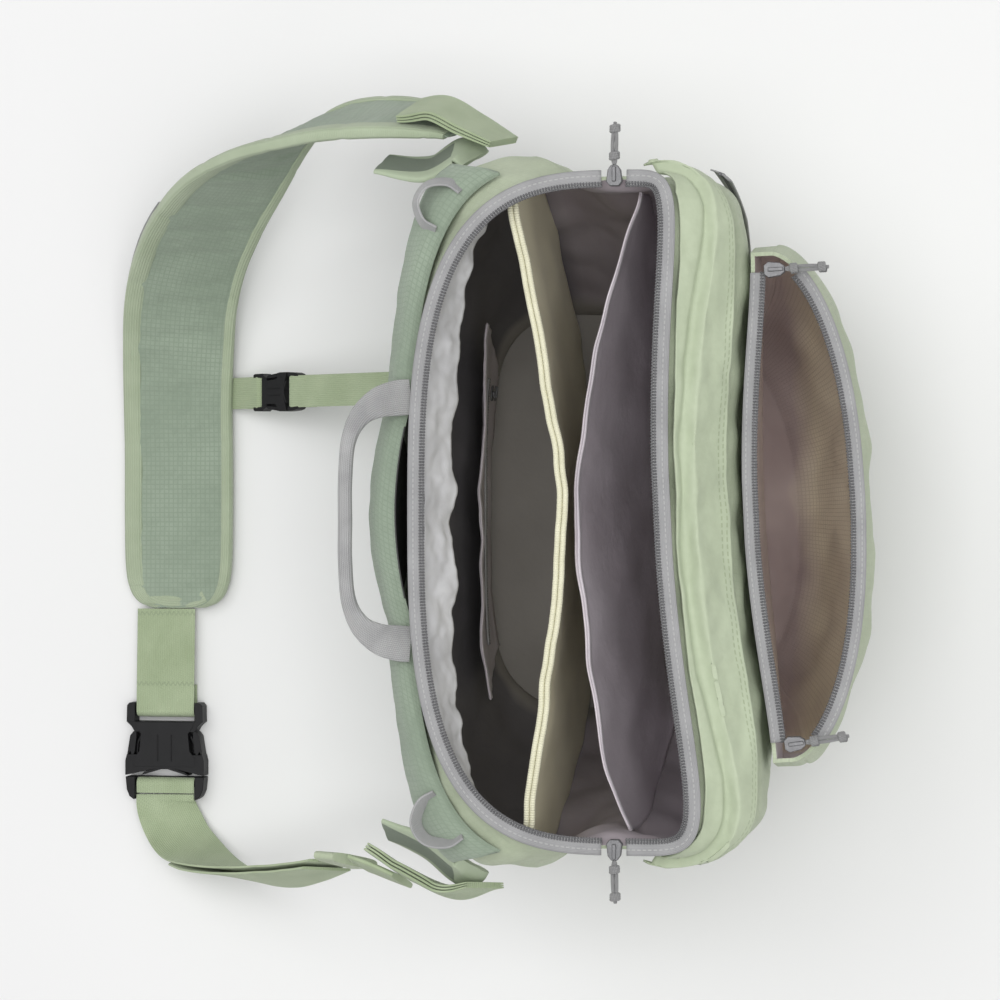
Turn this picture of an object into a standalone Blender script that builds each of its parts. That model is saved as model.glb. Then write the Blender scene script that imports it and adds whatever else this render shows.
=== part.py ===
"""A fishing tackle sling bag that stands open on its base, with its strap laid beside it.

+Z is up, +X runs along the bag towards the strap's padded end, -Y is the front with the
pocket and +Y is the wearer's side. The origin is on the floor under the middle of the base.
"""

from collections import namedtuple
from functools import lru_cache
from math import cos, pi, radians, sin

import bmesh
import bpy
import numpy as np
from mathutils import Matrix, Vector

# Body of the bag
BODY_HEIGHT = 0.250
BODY_HALF_LENGTH = 0.2085
BODY_BACK = 0.084
BODY_FRONT = 0.142
BODY_CENTRE_X = 0.002
FRONT_SKEW = 0.009
RIM_DIP = 0.008
PINCH_Y = -0.034
PINCH_WIDTH = 0.024
FRONT_TAPER = 0.60
TAPER_REACH = 0.060
SHELL_WALL = 0.0025
FLOOR_THICKNESS = 0.004
GAP = 0.0003
LINING_GAP = 0.0016

# Padded back panel and the slot pocket behind it
PANEL_THICKNESS = 0.011
PANEL_EDGE = 0.005
SLOT_DEPTH = 0.010
SLOT_HALF_TURN = 0.135
PANEL_CROWN = 0.004
SLOT_BOTTOM = 0.40
PANEL_TOP = 0.905
PANEL_BOTTOM = 0.05
PANEL_STEPS = (3, 29)

# Front band and front pocket
BAND_THICKNESS = 0.0022
PLEAT_RISE = 0.0035
BAND_HEIGHTS = (0.905, 0.94, 0.985)
BAND_STEPS = (3, 29)
PLEAT_HEIGHT = 0.94
POCKET_DEPTH = 0.064
POCKET_WALL = 0.0022
POCKET_STEPS = (9, 24)
POCKET_SIDE = 0.17
POCKET_TOP = 0.88
POCKET_BOTTOM = 0.04
POCKET_RIM_DROP = 0.016

# Zips
MAIN_TAPE_WIDTH = 0.0095
POCKET_TAPE_WIDTH = 0.0085
TAPE_THICKNESS = 0.0022
TAPE_END_TURN = 0.035
SLIDER = Vector((0.012, 0.009, 0.0055))
PULL_LENGTH = 0.024
PULL_RADIUS = 0.0016
KNOT = 2.3
PULL_SINK = 0.004
SIDE_TAPE_WIDTH = 0.010
SIDE_ZIP_HEIGHTS = (0.80, 0.30)
SIDE_ZIP_TURNS = (0.175, 0.220)
BODY_LINE = 0.56

# Linings inside the main compartment
SHEET_THICKNESS = 0.0014
DIVIDER_THICKNESS = 0.0032
DIVIDER_HEIGHT = 0.235
DIVIDER_BOW = 0.023
DIVIDER_ENDS = (0.0145, 0.006)
SLIP_HEIGHT = 0.226
SLIP_BOW = 0.036
SLIP_ENDS = (-0.054, -0.050)
COLLAR_WIDTH = 0.013
COLLAR_STEPS = (4, 28)
COLLAR_DROP = 0.10
INNER_POCKET_HEIGHT = 0.42
INNER_POCKET_LEAN = 0.020
INNER_POCKET_STEPS = (8, 24)
INNER_TAPE_HEIGHT = 0.28
INNER_TAPE_STEPS = (10, 22)
INNER_TAPE_WIDTH = 0.007
INNER_SLIDER = Vector((0.010, 0.007, 0.004))

# Strap, laid on the floor beside the bag
STRAP_HALF_SPAN = 0.234
STRAP_REACH = 0.2725
STRAP_RISE = 0.150
PAD_WIDTH = 0.070
PAD_THICKNESS = 0.009
UNDER_WEBBING_WIDTH = 0.012
WEBBING_WIDTH = 0.038
WEBBING_THICKNESS = 0.0018
SMALL_WEBBING_WIDTH = 0.020
SMALL_WEBBING_THICKNESS = 0.0016
BUCKLE = Vector((0.062, 0.052, 0.012))
UPPER_WEBBING_RUN = 0.0611
WEBBING_LEAD = 0.0063
SMALL_BUCKLE = Vector((0.042, 0.0245, 0.008))
SMALL_BUCKLE_Y = 0.214
STERNUM_X = 0.077
STERNUM_HEIGHT = 0.40
ARM_CLEARANCE = 0.0006
BAR_RADIUS = 0.0022
SMALL_BAR_RADIUS = 0.0016
LOOP_TAIL = 0.016
TAIL_GAP = 0.0020

# Grab handle, gear loops and the strap's anchors
HANDLE_WIDTH = 0.020
HANDLE_TUBE = 0.0078
HANDLE_HALF_SPAN = 0.069
HANDLE_REACH = 0.033
HANDLE_CENTRE_X = -0.0025
GEAR_WEBBING_WIDTH = 0.010
GEAR_REACH = 0.020
GEAR_SPREAD = 0.026
GEAR_TILT = 28.0
GEAR_STAND = 0.0034
HANDLE_STAND = 0.0020
HANDLE_SEAT = 0.965
GEAR_SEAT = 0.935
GEAR_LOOP_TURNS = (0.160, 0.840)
WING_SEAT = 0.70
WING_TURN = 0.085
WING_ROOT_OUT = 0.0120
WING_ROOT = 1.5
WING_HEIGHT = 0.038
WING_THICKNESS = 0.007
TAB_THICKNESS = 0.0062
KEEPER_THICKNESS = 0.0064
LOOP_THICKNESS = 0.0040

AROUND = 32
DENSE = 360

Section = namedtuple("Section", "height length back front middle round_back round_front bow pinch")

# Each row is one level of the body: its height as a share of BODY_HEIGHT, then its half
# length, its reach to the back and to the front and the place of its widest line as shares
# of the named sizes, the squareness of its corners, and its inward bow and side pinch.
SECTIONS = (
    Section(0.00, 0.600, 0.90, 0.60, 0.05, 3.2, 3.6, 0.00, 0.000),
    Section(0.04, 0.640, 0.93, 0.66, 0.05, 3.2, 3.8, 0.01, 0.010),
    Section(0.14, 0.735, 0.96, 0.76, 0.05, 3.2, 4.2, 0.05, 0.030),
    Section(0.32, 0.865, 0.99, 0.87, 0.06, 3.3, 4.6, 0.11, 0.052),
    Section(0.55, 0.965, 1.00, 0.95, 0.10, 3.5, 4.8, 0.17, 0.068),
    Section(0.75, 1.000, 0.98, 1.00, 0.12, 3.6, 5.0, 0.22, 0.076),
    Section(0.88, 0.980, 0.93, 0.99, 0.02, 3.5, 5.0, 0.21, 0.070),
    Section(0.94, 0.940, 0.88, 0.80, -0.24, 3.2, 5.5, 0.16, 0.048),
    Section(1.00, 0.890, 0.82, 0.62, -0.51, 3.0, 6.0, 0.12, 0.000),
)


def clear_scene():
    for item in list(bpy.data.objects):
        bpy.data.objects.remove(item)


@lru_cache(maxsize=None)
def material(name, colour, roughness, metallic=0.0):
    made = bpy.data.materials.new(name)
    made.use_nodes = True
    shader = made.node_tree.nodes["Principled BSDF"]
    shader.inputs["Base Color"].default_value = (*colour, 1.0)
    shader.inputs["Roughness"].default_value = roughness
    shader.inputs["Metallic"].default_value = metallic
    return made


def shell_fabric():
    return material("shell_fabric", (0.45, 0.53, 0.33), 0.80)


def pad_fabric():
    return material("pad_fabric", (0.39, 0.51, 0.39), 0.80)


def webbing_green():
    return material("webbing_green", (0.37, 0.47, 0.27), 0.75)


def webbing_grey():
    return material("webbing_grey", (0.36, 0.36, 0.36), 0.75)


def zip_grey():
    return material("zip_grey", (0.24, 0.24, 0.25), 0.55)


def lining_grey():
    return material("lining_grey", (0.42, 0.42, 0.43), 0.70)


def lining_mauve():
    return material("lining_mauve", (0.19, 0.16, 0.18), 0.60)


def divider_cream():
    return material("divider_cream", (0.38, 0.37, 0.22), 0.65)


def buckle_black():
    return material("buckle_black", (0.012, 0.012, 0.014), 0.40)


def cord_grey():
    return material("cord_grey", (0.25, 0.25, 0.26), 0.80)


def finish(name, bm, look, smooth=True):
    """Turn a closed bmesh into a named object with its own material."""
    bmesh.ops.recalc_face_normals(bm, faces=bm.faces)
    mesh = bpy.data.meshes.new(name)
    bm.to_mesh(mesh)
    bm.free()
    mesh.materials.append(look)
    if smooth:
        mesh.shade_smooth()
        mesh.set_sharp_from_angle(angle=radians(35))
    made = bpy.data.objects.new(name, mesh)
    bpy.context.scene.collection.objects.link(made)
    return made


def loft(name, rings, look, smooth=True):
    """Skin closed rings of equally many points and close both ends."""
    bm = bmesh.new()
    around, along = len(rings[0]), len(rings) - 1
    bmesh.ops.create_grid(bm, x_segments=around, y_segments=along, size=0.5)
    for vert in bm.verts:
        column = round((vert.co.x + 0.5) * around)
        row = round((vert.co.y + 0.5) * along)
        vert.co = rings[row][column % around]
    bmesh.ops.remove_doubles(bm, verts=bm.verts, dist=0.000001)
    bmesh.ops.holes_fill(bm, edges=[edge for edge in bm.edges if edge.is_boundary], sides=0)
    return finish(name, bm, look, smooth)


def join(target, others):
    """Unite other objects with the target and remove them."""
    for other in others:
        union = target.modifiers.new("union", "BOOLEAN")
        union.operation = "UNION"
        union.object = other
        bake(target)
        bpy.data.objects.remove(other)
    return target


def bake(target):
    graph = bpy.context.evaluated_depsgraph_get()
    baked = bpy.data.meshes.new_from_object(target.evaluated_get(graph))
    target.modifiers.clear()
    target.data = baked


def spread(first, last, count):
    return [first + (last - first) * step / count for step in range(count + 1)]


def section_at(height):
    """The body's section at any height share, between the two rows around it."""
    heights = [row.height for row in SECTIONS]
    return Section(*(np.interp(height, heights, column) for column in zip(*SECTIONS)))


@lru_cache(maxsize=None)
def body_outline(height):
    """Dense outlines of the back half and the front half at one height, with arc shares."""
    row = section_at(height)
    half = row.length * BODY_HALF_LENGTH
    middle = row.middle * BODY_BACK
    halves = []
    for front in (False, True):
        angle = np.linspace(0.0, pi, DENSE) + (pi if front else 0.0)
        power = 2.0 / (row.round_front if front else row.round_back)
        side = np.abs(np.sin(angle)) ** power
        along = np.sign(np.cos(angle)) * np.abs(np.cos(angle)) ** power
        reach = -row.front * BODY_FRONT if front else row.back * BODY_BACK
        y = middle + (reach - middle) * side
        if front:
            y += (row.bow * BODY_FRONT * (1.0 - along**2) + FRONT_SKEW * along) * side
        waist = np.exp(-(((y - PINCH_Y) / PINCH_WIDTH) ** 2))
        squeeze = 1.0 - row.pinch * (waist + FRONT_TAPER * np.clip(-y / TAPER_REACH, 0.0, 1.0))
        x = BODY_CENTRE_X + half * along * squeeze
        z = BODY_HEIGHT * height - RIM_DIP * np.abs(along) ** 4 * height**6
        points = np.stack([x, y, z], axis=1)
        steps = np.linalg.norm(np.diff(points, axis=0), axis=1)
        share = np.concatenate([[0.0], np.cumsum(steps)])
        halves.append((share / share[-1], points))
    return halves


def on_outline(turn, height):
    """A point of the body's outer face. Turn 0 is the +X zip end, 1 the -X zip end."""
    turn = turn % 2.0
    share, points = body_outline(height)[int(turn >= 1.0)]
    return Vector([np.interp(turn % 1.0, share, points[:, axis]) for axis in range(3)])


def level_normal(turn, height):
    """The horizontal direction out of the body."""
    step = 0.012
    along = on_outline(turn + step, height) - on_outline(turn - step, height)
    return Vector((along.y, -along.x, 0.0)).normalized()


def body_normal(turn, height):
    """The direction square to the body's face."""
    step = 0.012
    rise = 0.02
    along = on_outline(turn + step, height) - on_outline(turn - step, height)
    above = on_outline(turn, min(height + rise, 1.0))
    below = on_outline(turn, max(height - rise, 0.0))
    return along.cross(above - below).normalized()


def on_body(turn, height, out=0.0):
    return on_outline(turn, height) + body_normal(turn, height) * out


def beside_body(turn, height, out):
    return on_outline(turn, height) + level_normal(turn, height) * out


def main_shell():
    turns = spread(0.0, 2.0, 2 * AROUND)[:-1]
    heights = [*(row.height for row in SECTIONS if row.height < BAND_HEIGHTS[0]), *BAND_HEIGHTS, 1.0]
    outer = [[on_outline(turn, height) for turn in turns] for height in heights]
    inner = [[on_body(turn, height, -SHELL_WALL) for turn in turns] for height in heights[:1:-1]]
    floor_share = FLOOR_THICKNESS / BODY_HEIGHT
    floor = [beside_body(turn, floor_share, -SHELL_WALL) for turn in turns]
    for point in floor:
        point.z = FLOOR_THICKNESS
    return loft("main_shell", [*outer, *inner, floor], shell_fabric())


def slot_depth(turn, height):
    """How far the back panel stands off the body over the slot pocket."""
    across = max(0.0, 1.0 - ((turn - 0.5) / SLOT_HALF_TURN) ** 2) ** 1.3
    rise = max(0.0, (height - SLOT_BOTTOM) / (PANEL_TOP - SLOT_BOTTOM))
    return SLOT_DEPTH * across * rise


def back_panel():
    heights = [PANEL_BOTTOM, 0.14, 0.32, 0.55, 0.75, 0.88, PANEL_TOP]
    first, last = (step / AROUND for step in PANEL_STEPS)
    rings = []
    for turn in spread(first, last, PANEL_STEPS[1] - PANEL_STEPS[0]):
        from_edge = min(turn - first, last - turn) / (last - first)
        fill = min(1.0, from_edge / 0.05)
        inner = [on_body(turn, h, GAP * 3 + slot_depth(turn, h)) for h in heights]
        outer = []
        for h in reversed(heights):
            from_end = min(h - PANEL_BOTTOM, PANEL_TOP - h)
            body = fill * min(1.0, from_end / 0.06)
            thick = PANEL_EDGE + (PANEL_THICKNESS - PANEL_EDGE) * body
            thick += PANEL_CROWN * sin(pi * (turn - first) / (last - first)) ** 3
            outer.append(on_body(turn, h, GAP * 3 + slot_depth(turn, h) + thick))
        rings.append(inner + outer)
    return loft("back_panel", rings, pad_fabric())


def front_band():
    rings = []
    first, last = (1.0 + step / AROUND for step in BAND_STEPS)
    for turn in spread(first, last, BAND_STEPS[1] - BAND_STEPS[0]):
        lower = [on_body(turn, h, 4 * GAP) for h in BAND_HEIGHTS]
        upper = []
        for h in reversed(BAND_HEIGHTS):
            pleat = PLEAT_RISE * (h == PLEAT_HEIGHT)
            upper.append(on_body(turn, h, 4 * GAP + BAND_THICKNESS + pleat))
        rings.append(lower + upper)
    return loft("front_band", rings, shell_fabric())


def pocket_reach(across):
    """Depth of the front pocket at a place from -1 to 1 along it."""
    arc = (1.0 - abs(across) ** 2.2) ** 0.62
    return POCKET_DEPTH * (POCKET_SIDE + (1.0 - POCKET_SIDE) * arc)


POCKET_PROFILE = ((0.0, 0.42), (0.14, 0.66), (0.32, 0.84), (0.55, 0.95), (0.75, 1.0), (1.0, 0.98))


def pocket_point(across, height, inset, outer):
    """A point on the pocket's wall, on its outer side or on the side along the body."""
    first, last = (step / AROUND for step in POCKET_STEPS)
    half = (last - first) / 2.0 - inset / 0.5
    turn = 1.0 + (first + last) / 2.0 + across * half
    low, high = zip(*POCKET_PROFILE)
    fullness = np.interp(height, low, high)
    reach = GAP * 3 + inset
    if outer:
        reach = GAP * 3 + pocket_reach(across) * fullness - inset
    point = beside_body(turn, height, reach)
    point.z -= POCKET_RIM_DROP * (reach / POCKET_DEPTH) * (height / POCKET_TOP) ** 3
    return point


def pocket_ring(height, inset):
    steps = spread(-1.0, 1.0, POCKET_STEPS[1] - POCKET_STEPS[0])
    along_body = [pocket_point(across, height, inset, False) for across in steps]
    around_front = [pocket_point(across, height, inset, True) for across in reversed(steps)]
    return along_body + around_front


def front_pocket():
    heights = [0.14, 0.32, 0.55, 0.75, POCKET_TOP]
    bottom = pocket_ring(POCKET_BOTTOM, 0.0)
    outer = [pocket_ring(height, 0.0) for height in heights]
    inner = [pocket_ring(height, POCKET_WALL) for height in reversed(heights)]
    floor = pocket_ring(POCKET_BOTTOM, POCKET_WALL)
    base_height = BODY_HEIGHT * POCKET_BOTTOM
    for low, high in zip(bottom, floor):
        low.z = base_height
        high.z = base_height + POCKET_WALL
    return loft("front_pocket", [bottom, *outer, *inner, floor], shell_fabric())


def tape(name, points, outs, ups, width, look):
    """A flat zip tape along a line of points, with its width out of the bag."""
    rings = []
    for point, out, up in zip(points, outs, ups):
        half = out * (width / 2.0)
        lift = up * TAPE_THICKNESS
        rings.append([point - half, point + half, point + half + lift, point - half + lift])
    return loft(name, rings, look, smooth=False)


def rim_tape(name, first, last):
    up = Vector((0.0, 0.0, 1.0))
    turns = spread(first, last, AROUND)
    outs = [level_normal(turn, 1.0) for turn in turns]
    points = [beside_body(turn, 1.0, -SHELL_WALL / 2.0) + up * GAP * 2 for turn in turns]
    return tape(name, points, outs, [up] * len(turns), MAIN_TAPE_WIDTH, zip_grey())


def main_zip():
    rim_tape("main_zip_back", TAPE_END_TURN, 1.0 - TAPE_END_TURN)
    rim_tape("main_zip_front", 1.0 + TAPE_END_TURN, 2.0 - TAPE_END_TURN)


def pocket_zip():
    up = Vector((0.0, 0.0, 1.0))
    rise = up * GAP * 4
    for name, outer in (("pocket_zip_inner", False), ("pocket_zip_outer", True)):
        steps = spread(-0.93, 0.93, 20)
        mid = POCKET_WALL / 2.0
        points = [pocket_point(step, POCKET_TOP, mid, outer) + rise for step in steps]
        outs = []
        for before, after in zip(points[:1] + points[:-1], points[1:] + points[-1:]):
            along = after - before
            outs.append(Vector((along.y, -along.x, 0.0)).normalized())
        shift = 0.0 if outer else POCKET_TAPE_WIDTH / 2.0 - mid - GAP
        points = [point + out * shift for point, out in zip(points, outs)]
        tape(name, points, outs, [up] * len(points), POCKET_TAPE_WIDTH, zip_grey())


def frame_of(points, index, roll):
    """Travel, width and face directions of a band at one point of its route."""
    before = points[max(index - 1, 0)]
    after = points[min(index + 1, len(points) - 1)]
    travel = (after - before).normalized()
    level = Vector((0.0, 0.0, 1.0)).cross(travel).normalized()
    upward = travel.cross(level)
    width = level * cos(roll) + upward * sin(roll)
    return travel, width, travel.cross(width)


def smooth_rows(rows, steps):
    """Rows between the given ones, on a curve through all of them."""
    table = np.array([tuple(row) for row in rows], dtype=float)
    padded = np.concatenate([[2 * table[0] - table[1]], table, [2 * table[-1] - table[-2]]])
    made = []
    for a, b, c, d in zip(padded, padded[1:], padded[2:], padded[3:]):
        for step in range(steps):
            t = step / steps
            made.append(
                0.5 * (2 * b + (c - a) * t + (2 * a - 5 * b + 4 * c - d) * t**2
                       + (3 * b - a - 3 * c + d) * t**3)
            )
    made.append(table[-1])
    return made


def cross_section(width, thickness, squareness, count):
    """Points of a rounded flat section, as offsets along its width and its face."""
    if count == 4:
        half, thin = width / 2.0, thickness / 2.0
        return [(-half, -thin), (half, -thin), (half, thin), (-half, thin)]
    power = 2.0 / squareness
    ring = []
    for step in range(count):
        angle = 2.0 * pi * (step + 0.5) / count
        across = abs(cos(angle)) ** power * (1 if cos(angle) > 0 else -1)
        through = abs(sin(angle)) ** power * (1 if sin(angle) > 0 else -1)
        ring.append((across * width / 2.0, through * thickness / 2.0))
    return ring


def band(name, route, width, thickness, look, count=4, squareness=3.0, shift=0.0, aside=0.0):
    """Sweep a flat section along rows of x, y, z, roll in degrees, width and thickness shares."""
    points = [Vector(row[:3]) for row in route]
    rings = []
    for index, row in enumerate(route):
        _, across, face = frame_of(points, index, radians(row[3]))
        centre = points[index] + face * shift + across * aside
        section = cross_section(width * row[4], thickness * row[5], squareness, count)
        rings.append([centre + across * u + face * v for u, v in section])
    return loft(name, rings, look)


def looped_band(name, points, across, width, thickness, look):
    """Sweep a flat section along points whose width keeps one direction."""
    rings = []
    for index in range(len(points)):
        before = points[max(index - 1, 0)]
        after = points[min(index + 1, len(points) - 1)]
        face = (after - before).normalized().cross(across).normalized()
        half, thin = across * (width / 2.0), face * (thickness / 2.0)
        middle = points[index]
        rings.append([middle - half - thin, middle + half - thin,
                      middle + half + thin, middle - half + thin])
    return loft(name, rings, look)


def around_bar(bar, inward, up, radius, tail):
    """The end of a webbing that goes over a bar, round it and back beneath."""
    arc = [bar + up * (radius * cos(a)) - inward * (-radius * sin(a)) for a in spread(0.0, pi, 8)]
    return [*arc, bar - up * radius - inward * (tail / 2.0), bar - up * radius - inward * tail]


Station = namedtuple("Station", "along out high roll width thick")

# The padded strap from its anchor on the bag's +X end to its flat end on the floor, with
# places as shares of the strap's half span, reach and rise.
PAD_ROUTE = (
    Station(0.966, 0.222, 1.010, -112, 0.60, 0.55),
    Station(0.985, 0.275, 1.000, -112, 0.80, 0.80),
    Station(1.002, 0.384, 0.975, -113, 0.94, 1.00),
    Station(1.002, 0.502, 0.920, -111, 1.00, 1.00),
    Station(0.980, 0.600, 0.845, -103, 1.00, 1.00),
    Station(0.940, 0.684, 0.750, -86, 1.00, 1.00),
    Station(0.876, 0.768, 0.620, -66, 1.00, 1.00),
    Station(0.792, 0.852, 0.460, -50, 1.00, 1.00),
    Station(0.690, 0.925, 0.290, -36, 1.00, 1.00),
    Station(0.575, 0.972, 0.150, -20, 1.00, 1.00),
    Station(0.445, 0.992, 0.060, -8, 1.00, 1.00),
    Station(0.310, 1.000, 0.014, -1, 1.00, 1.00),
    Station(0.160, 1.000, 0.000, 0, 1.00, 1.00),
    Station(0.000, 1.000, 0.000, 0, 1.00, 1.00),
    Station(-0.140, 1.000, 0.000, 0, 0.98, 1.00),
    Station(-0.205, 1.000, 0.000, 0, 0.90, 0.95),
    Station(-0.240, 1.000, 0.000, 0, 0.74, 0.80),
    Station(-0.256, 1.000, 0.000, 0, 0.50, 0.62),
)

# The sewn wings, folded tabs and webbing loop where the strap meets the bag's two ends.
UPPER_WING_END = (
    Station(0.862, 0.285, 1.12, 90, 1.00, 1.10),
    Station(0.878, 0.388, 1.08, 90, 0.80, 0.70),
)
LOWER_WING_END = (
    Station(-0.822, 0.290, 1.12, 90, 1.00, 1.20),
    Station(-0.785, 0.380, 1.08, 90, 0.80, 0.75),
)
UPPER_TAB = (
    Station(1.014, 0.330, 1.050, 113, 1.00, 0.75),
    Station(1.012, 0.262, 1.085, 113, 1.00, 1.00),
    Station(0.970, 0.194, 1.115, 111, 1.00, 1.00),
    Station(0.922, 0.118, 1.140, 106, 1.00, 0.70),
)
LOWER_TAB = (
    Station(-0.8625, 0.420, 0.880, 80, 0.96, 0.90),
    Station(-0.902, 0.349, 0.940, 80, 1.00, 1.00),
    Station(-0.936, 0.250, 1.030, 80, 1.00, 1.00),
    Station(-0.915, 0.160, 1.120, 80, 0.90, 0.60),
)
LOOP_ROUTE = (
    Station(-0.893, 0.472, 0.785, -106, 1, 1),
    Station(-0.907, 0.430, 0.810, -106, 1, 1),
    Station(-0.930, 0.372, 0.835, -104, 1, 1),
)
KEEPER_ROUTE = (
    Station(-0.891, 0.536, 0.709, -106, 1, 1),
    Station(-0.888, 0.487, 0.760, -104, 1, 1),
)

# The webbing from the buckle on the floor up to the keeper at the bag's -X end.
WEBBING_ROUTE = (
    Station(-0.768, 1.030, 0.062, 0, 1, 1),
    Station(-0.802, 1.029, 0.058, -4, 1, 1),
    Station(-0.850, 1.008, 0.074, -18, 1, 1),
    Station(-0.893, 0.974, 0.125, -42, 1, 1),
    Station(-0.925, 0.918, 0.205, -68, 1, 1),
    Station(-0.946, 0.850, 0.295, -90, 1, 1),
    Station(-0.953, 0.770, 0.400, -106, 1, 1),
    Station(-0.944, 0.694, 0.500, -114, 1, 1),
    Station(-0.922, 0.620, 0.600, -112, 1, 1),
    Station(-0.893, 0.545, 0.700, -106, 1, 1),
)
TAIL_ROUTE = WEBBING_ROUTE[3:]
BUCKLE_SETTLE = 5


def pad_rest():
    """Height of the pad's middle where it lies on the floor, over the webbing sewn under it."""
    return SMALL_WEBBING_THICKNESS + GAP * 2 + PAD_THICKNESS / 2.0


def laid(stations, rest):
    """Stations as rows of world places, with the strap's resting height under them."""
    return [
        (row.along * STRAP_HALF_SPAN, row.out * STRAP_REACH,
         rest + row.high * (STRAP_RISE - rest), row.roll, row.width, row.thick)
        for row in stations
    ]


def strap_pad():
    route = smooth_rows(laid(PAD_ROUTE, pad_rest()), 2)
    return band("strap_pad", route, PAD_WIDTH, PAD_THICKNESS, pad_fabric(), 12, 3.6)


def strap_under_webbing():
    """The webbing sewn along the pad's outer edge, on the side that faces the floor."""
    route = smooth_rows(laid(PAD_ROUTE[7:15], pad_rest()), 2)
    under = PAD_THICKNESS / 2.0 + GAP * 2 + SMALL_WEBBING_THICKNESS / 2.0
    flat = [(*row[:4], 1.0, 1.0) for row in route]
    edge = UNDER_WEBBING_WIDTH / 2.0 - PAD_WIDTH / 2.0
    return band("strap_under_webbing", flat, UNDER_WEBBING_WIDTH, SMALL_WEBBING_THICKNESS,
                webbing_grey(), shift=-under, aside=edge)


def buckle_frame(origin, inward, up):
    """Local x runs from the first bar towards the second half of the buckle."""
    across = up.cross(inward)
    return Matrix.Translation(origin) @ Matrix((inward, across, up)).transposed().to_4x4()


FEMALE_OUTLINE = (
    (0.00, 0.90), (0.03, 0.96), (0.20, 0.97), (0.28, 0.77), (0.34, 0.88), (0.50, 0.88),
    (0.57, 0.98), (0.75, 1.00), (0.75, 0.56), (0.64, 0.30), (0.61, 0.10),
)
MALE_OUTLINE = ((0.765, 1.00), (0.90, 0.97), (0.97, 0.90), (1.00, 0.80))


def outlined_block(name, outline, size, look):
    """A symmetrical plate from half of its outline, extruded to its thickness."""
    bm = bmesh.new()
    half = [(x * size.x, y * size.y / 2.0) for x, y in outline]
    whole = half + [(x, -y) for x, y in reversed(half)]
    verts = [bm.verts.new((x, y, -size.z / 2.0)) for x, y in whole]
    face = bmesh.ops.contextual_create(bm, geom=verts)["faces"]
    raised = bmesh.ops.extrude_face_region(bm, geom=face)["geom"]
    top = [item for item in raised if isinstance(item, bmesh.types.BMVert)]
    bmesh.ops.translate(bm, verts=top, vec=(0.0, 0.0, size.z))
    return finish(name, bm, look, smooth=False)


def block(name, low, high, look):
    bm = bmesh.new()
    bmesh.ops.create_cube(bm, size=1.0)
    size = [b - a for a, b in zip(low, high)]
    middle = [(a + b) / 2.0 for a, b in zip(low, high)]
    bmesh.ops.scale(bm, verts=bm.verts, vec=size)
    bmesh.ops.translate(bm, verts=bm.verts, vec=middle)
    return finish(name, bm, look, smooth=False)


def bar(name, x, half_width, radius, look):
    bm = bmesh.new()
    turned = Matrix.Translation((x, 0.0, 0.0)) @ Matrix.Rotation(pi / 2.0, 4, "X")
    bmesh.ops.create_cone(bm, cap_ends=True, segments=12, radius1=radius, radius2=radius,
                          depth=2.0 * half_width, matrix=turned)
    return finish(name, bm, look, smooth=False)


def cut(target, cutter):
    less = target.modifiers.new("cut", "BOOLEAN")
    less.operation = "DIFFERENCE"
    less.object = cutter
    bake(target)
    bpy.data.objects.remove(cutter)


def buckle(prefix, size, opening, radius, place):
    """Both halves of a fastened side-release buckle; the webbing goes round each one's bar."""
    look = buckle_black()
    half_open = opening / 2.0 + ARM_CLEARANCE
    overlap = size.y / 2.0 * 0.90
    female = outlined_block(f"{prefix}_female", FEMALE_OUTLINE, size, look)
    cut(female, block("slot", (-0.01, -half_open, -size.z), (0.19 * size.x, half_open, size.z), look))
    join(female, [bar("bar", female_bar_x(size), overlap, radius, look)])
    male = outlined_block(f"{prefix}_male", MALE_OUTLINE, size, look)
    cut(male, block("slot", (0.70 * size.x, -half_open, -size.z),
                    (1.10 * size.x, half_open, size.z), look))
    arms = bar("bar", male_bar_x(size), overlap, radius, look)
    join(arms, [male])
    arms.name = f"{prefix}_male"
    for item in (female, arms):
        item.matrix_world = place


def female_bar_x(size):
    return 0.075 * size.x


def male_bar_x(size):
    return 0.845 * size.x


def pad_end_x():
    return PAD_ROUTE[-1].along * STRAP_HALF_SPAN


def main_buckle():
    centre_z = BUCKLE.z / 2.0
    place = buckle_frame(Vector((pad_end_x() - UPPER_WEBBING_RUN, STRAP_REACH * 1.03, centre_z)),
                         Vector((-1.0, 0.0, 0.0)), Vector((0.0, 0.0, 1.0)))
    buckle("buckle", BUCKLE, WEBBING_WIDTH, BAR_RADIUS, place)
    return place


def buckle_webbing(place):
    """The short webbing from the pad's end, sewn round the first bar of the buckle."""
    radius = BAR_RADIUS + GAP * 2 + WEBBING_THICKNESS / 2.0
    first_bar = place @ Vector((female_bar_x(BUCKLE), 0.0, 0.0))
    inward = Vector((-1.0, 0.0, 0.0))
    up = Vector((0.0, 0.0, 1.0))
    start = Vector((pad_end_x() - GAP * 3, first_bar.y, pad_rest()))
    over = first_bar + up * radius
    lead = [start.lerp(over, share) for share in (0.0, 0.25, 0.5, 0.75)]
    points = lead + around_bar(first_bar, inward, up, radius, LOOP_TAIL)
    looped_band("strap_webbing_upper", points, Vector((0.0, 1.0, 0.0)), WEBBING_WIDTH,
                WEBBING_THICKNESS, webbing_green())


def from_buckle(stations, buckle_end):
    """Stations laid out so that the first one stays beside the buckle, wherever that ends."""
    rows = laid(stations, 0.0)
    away = buckle_end - WEBBING_LEAD - WEBBING_ROUTE[0].along * STRAP_HALF_SPAN
    moved = []
    for row, station in zip(rows, stations):
        near = 1.0 - WEBBING_ROUTE.index(station) / BUCKLE_SETTLE
        moved.append((row[0] + away * max(0.0, near), *row[1:]))
    return moved


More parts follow.
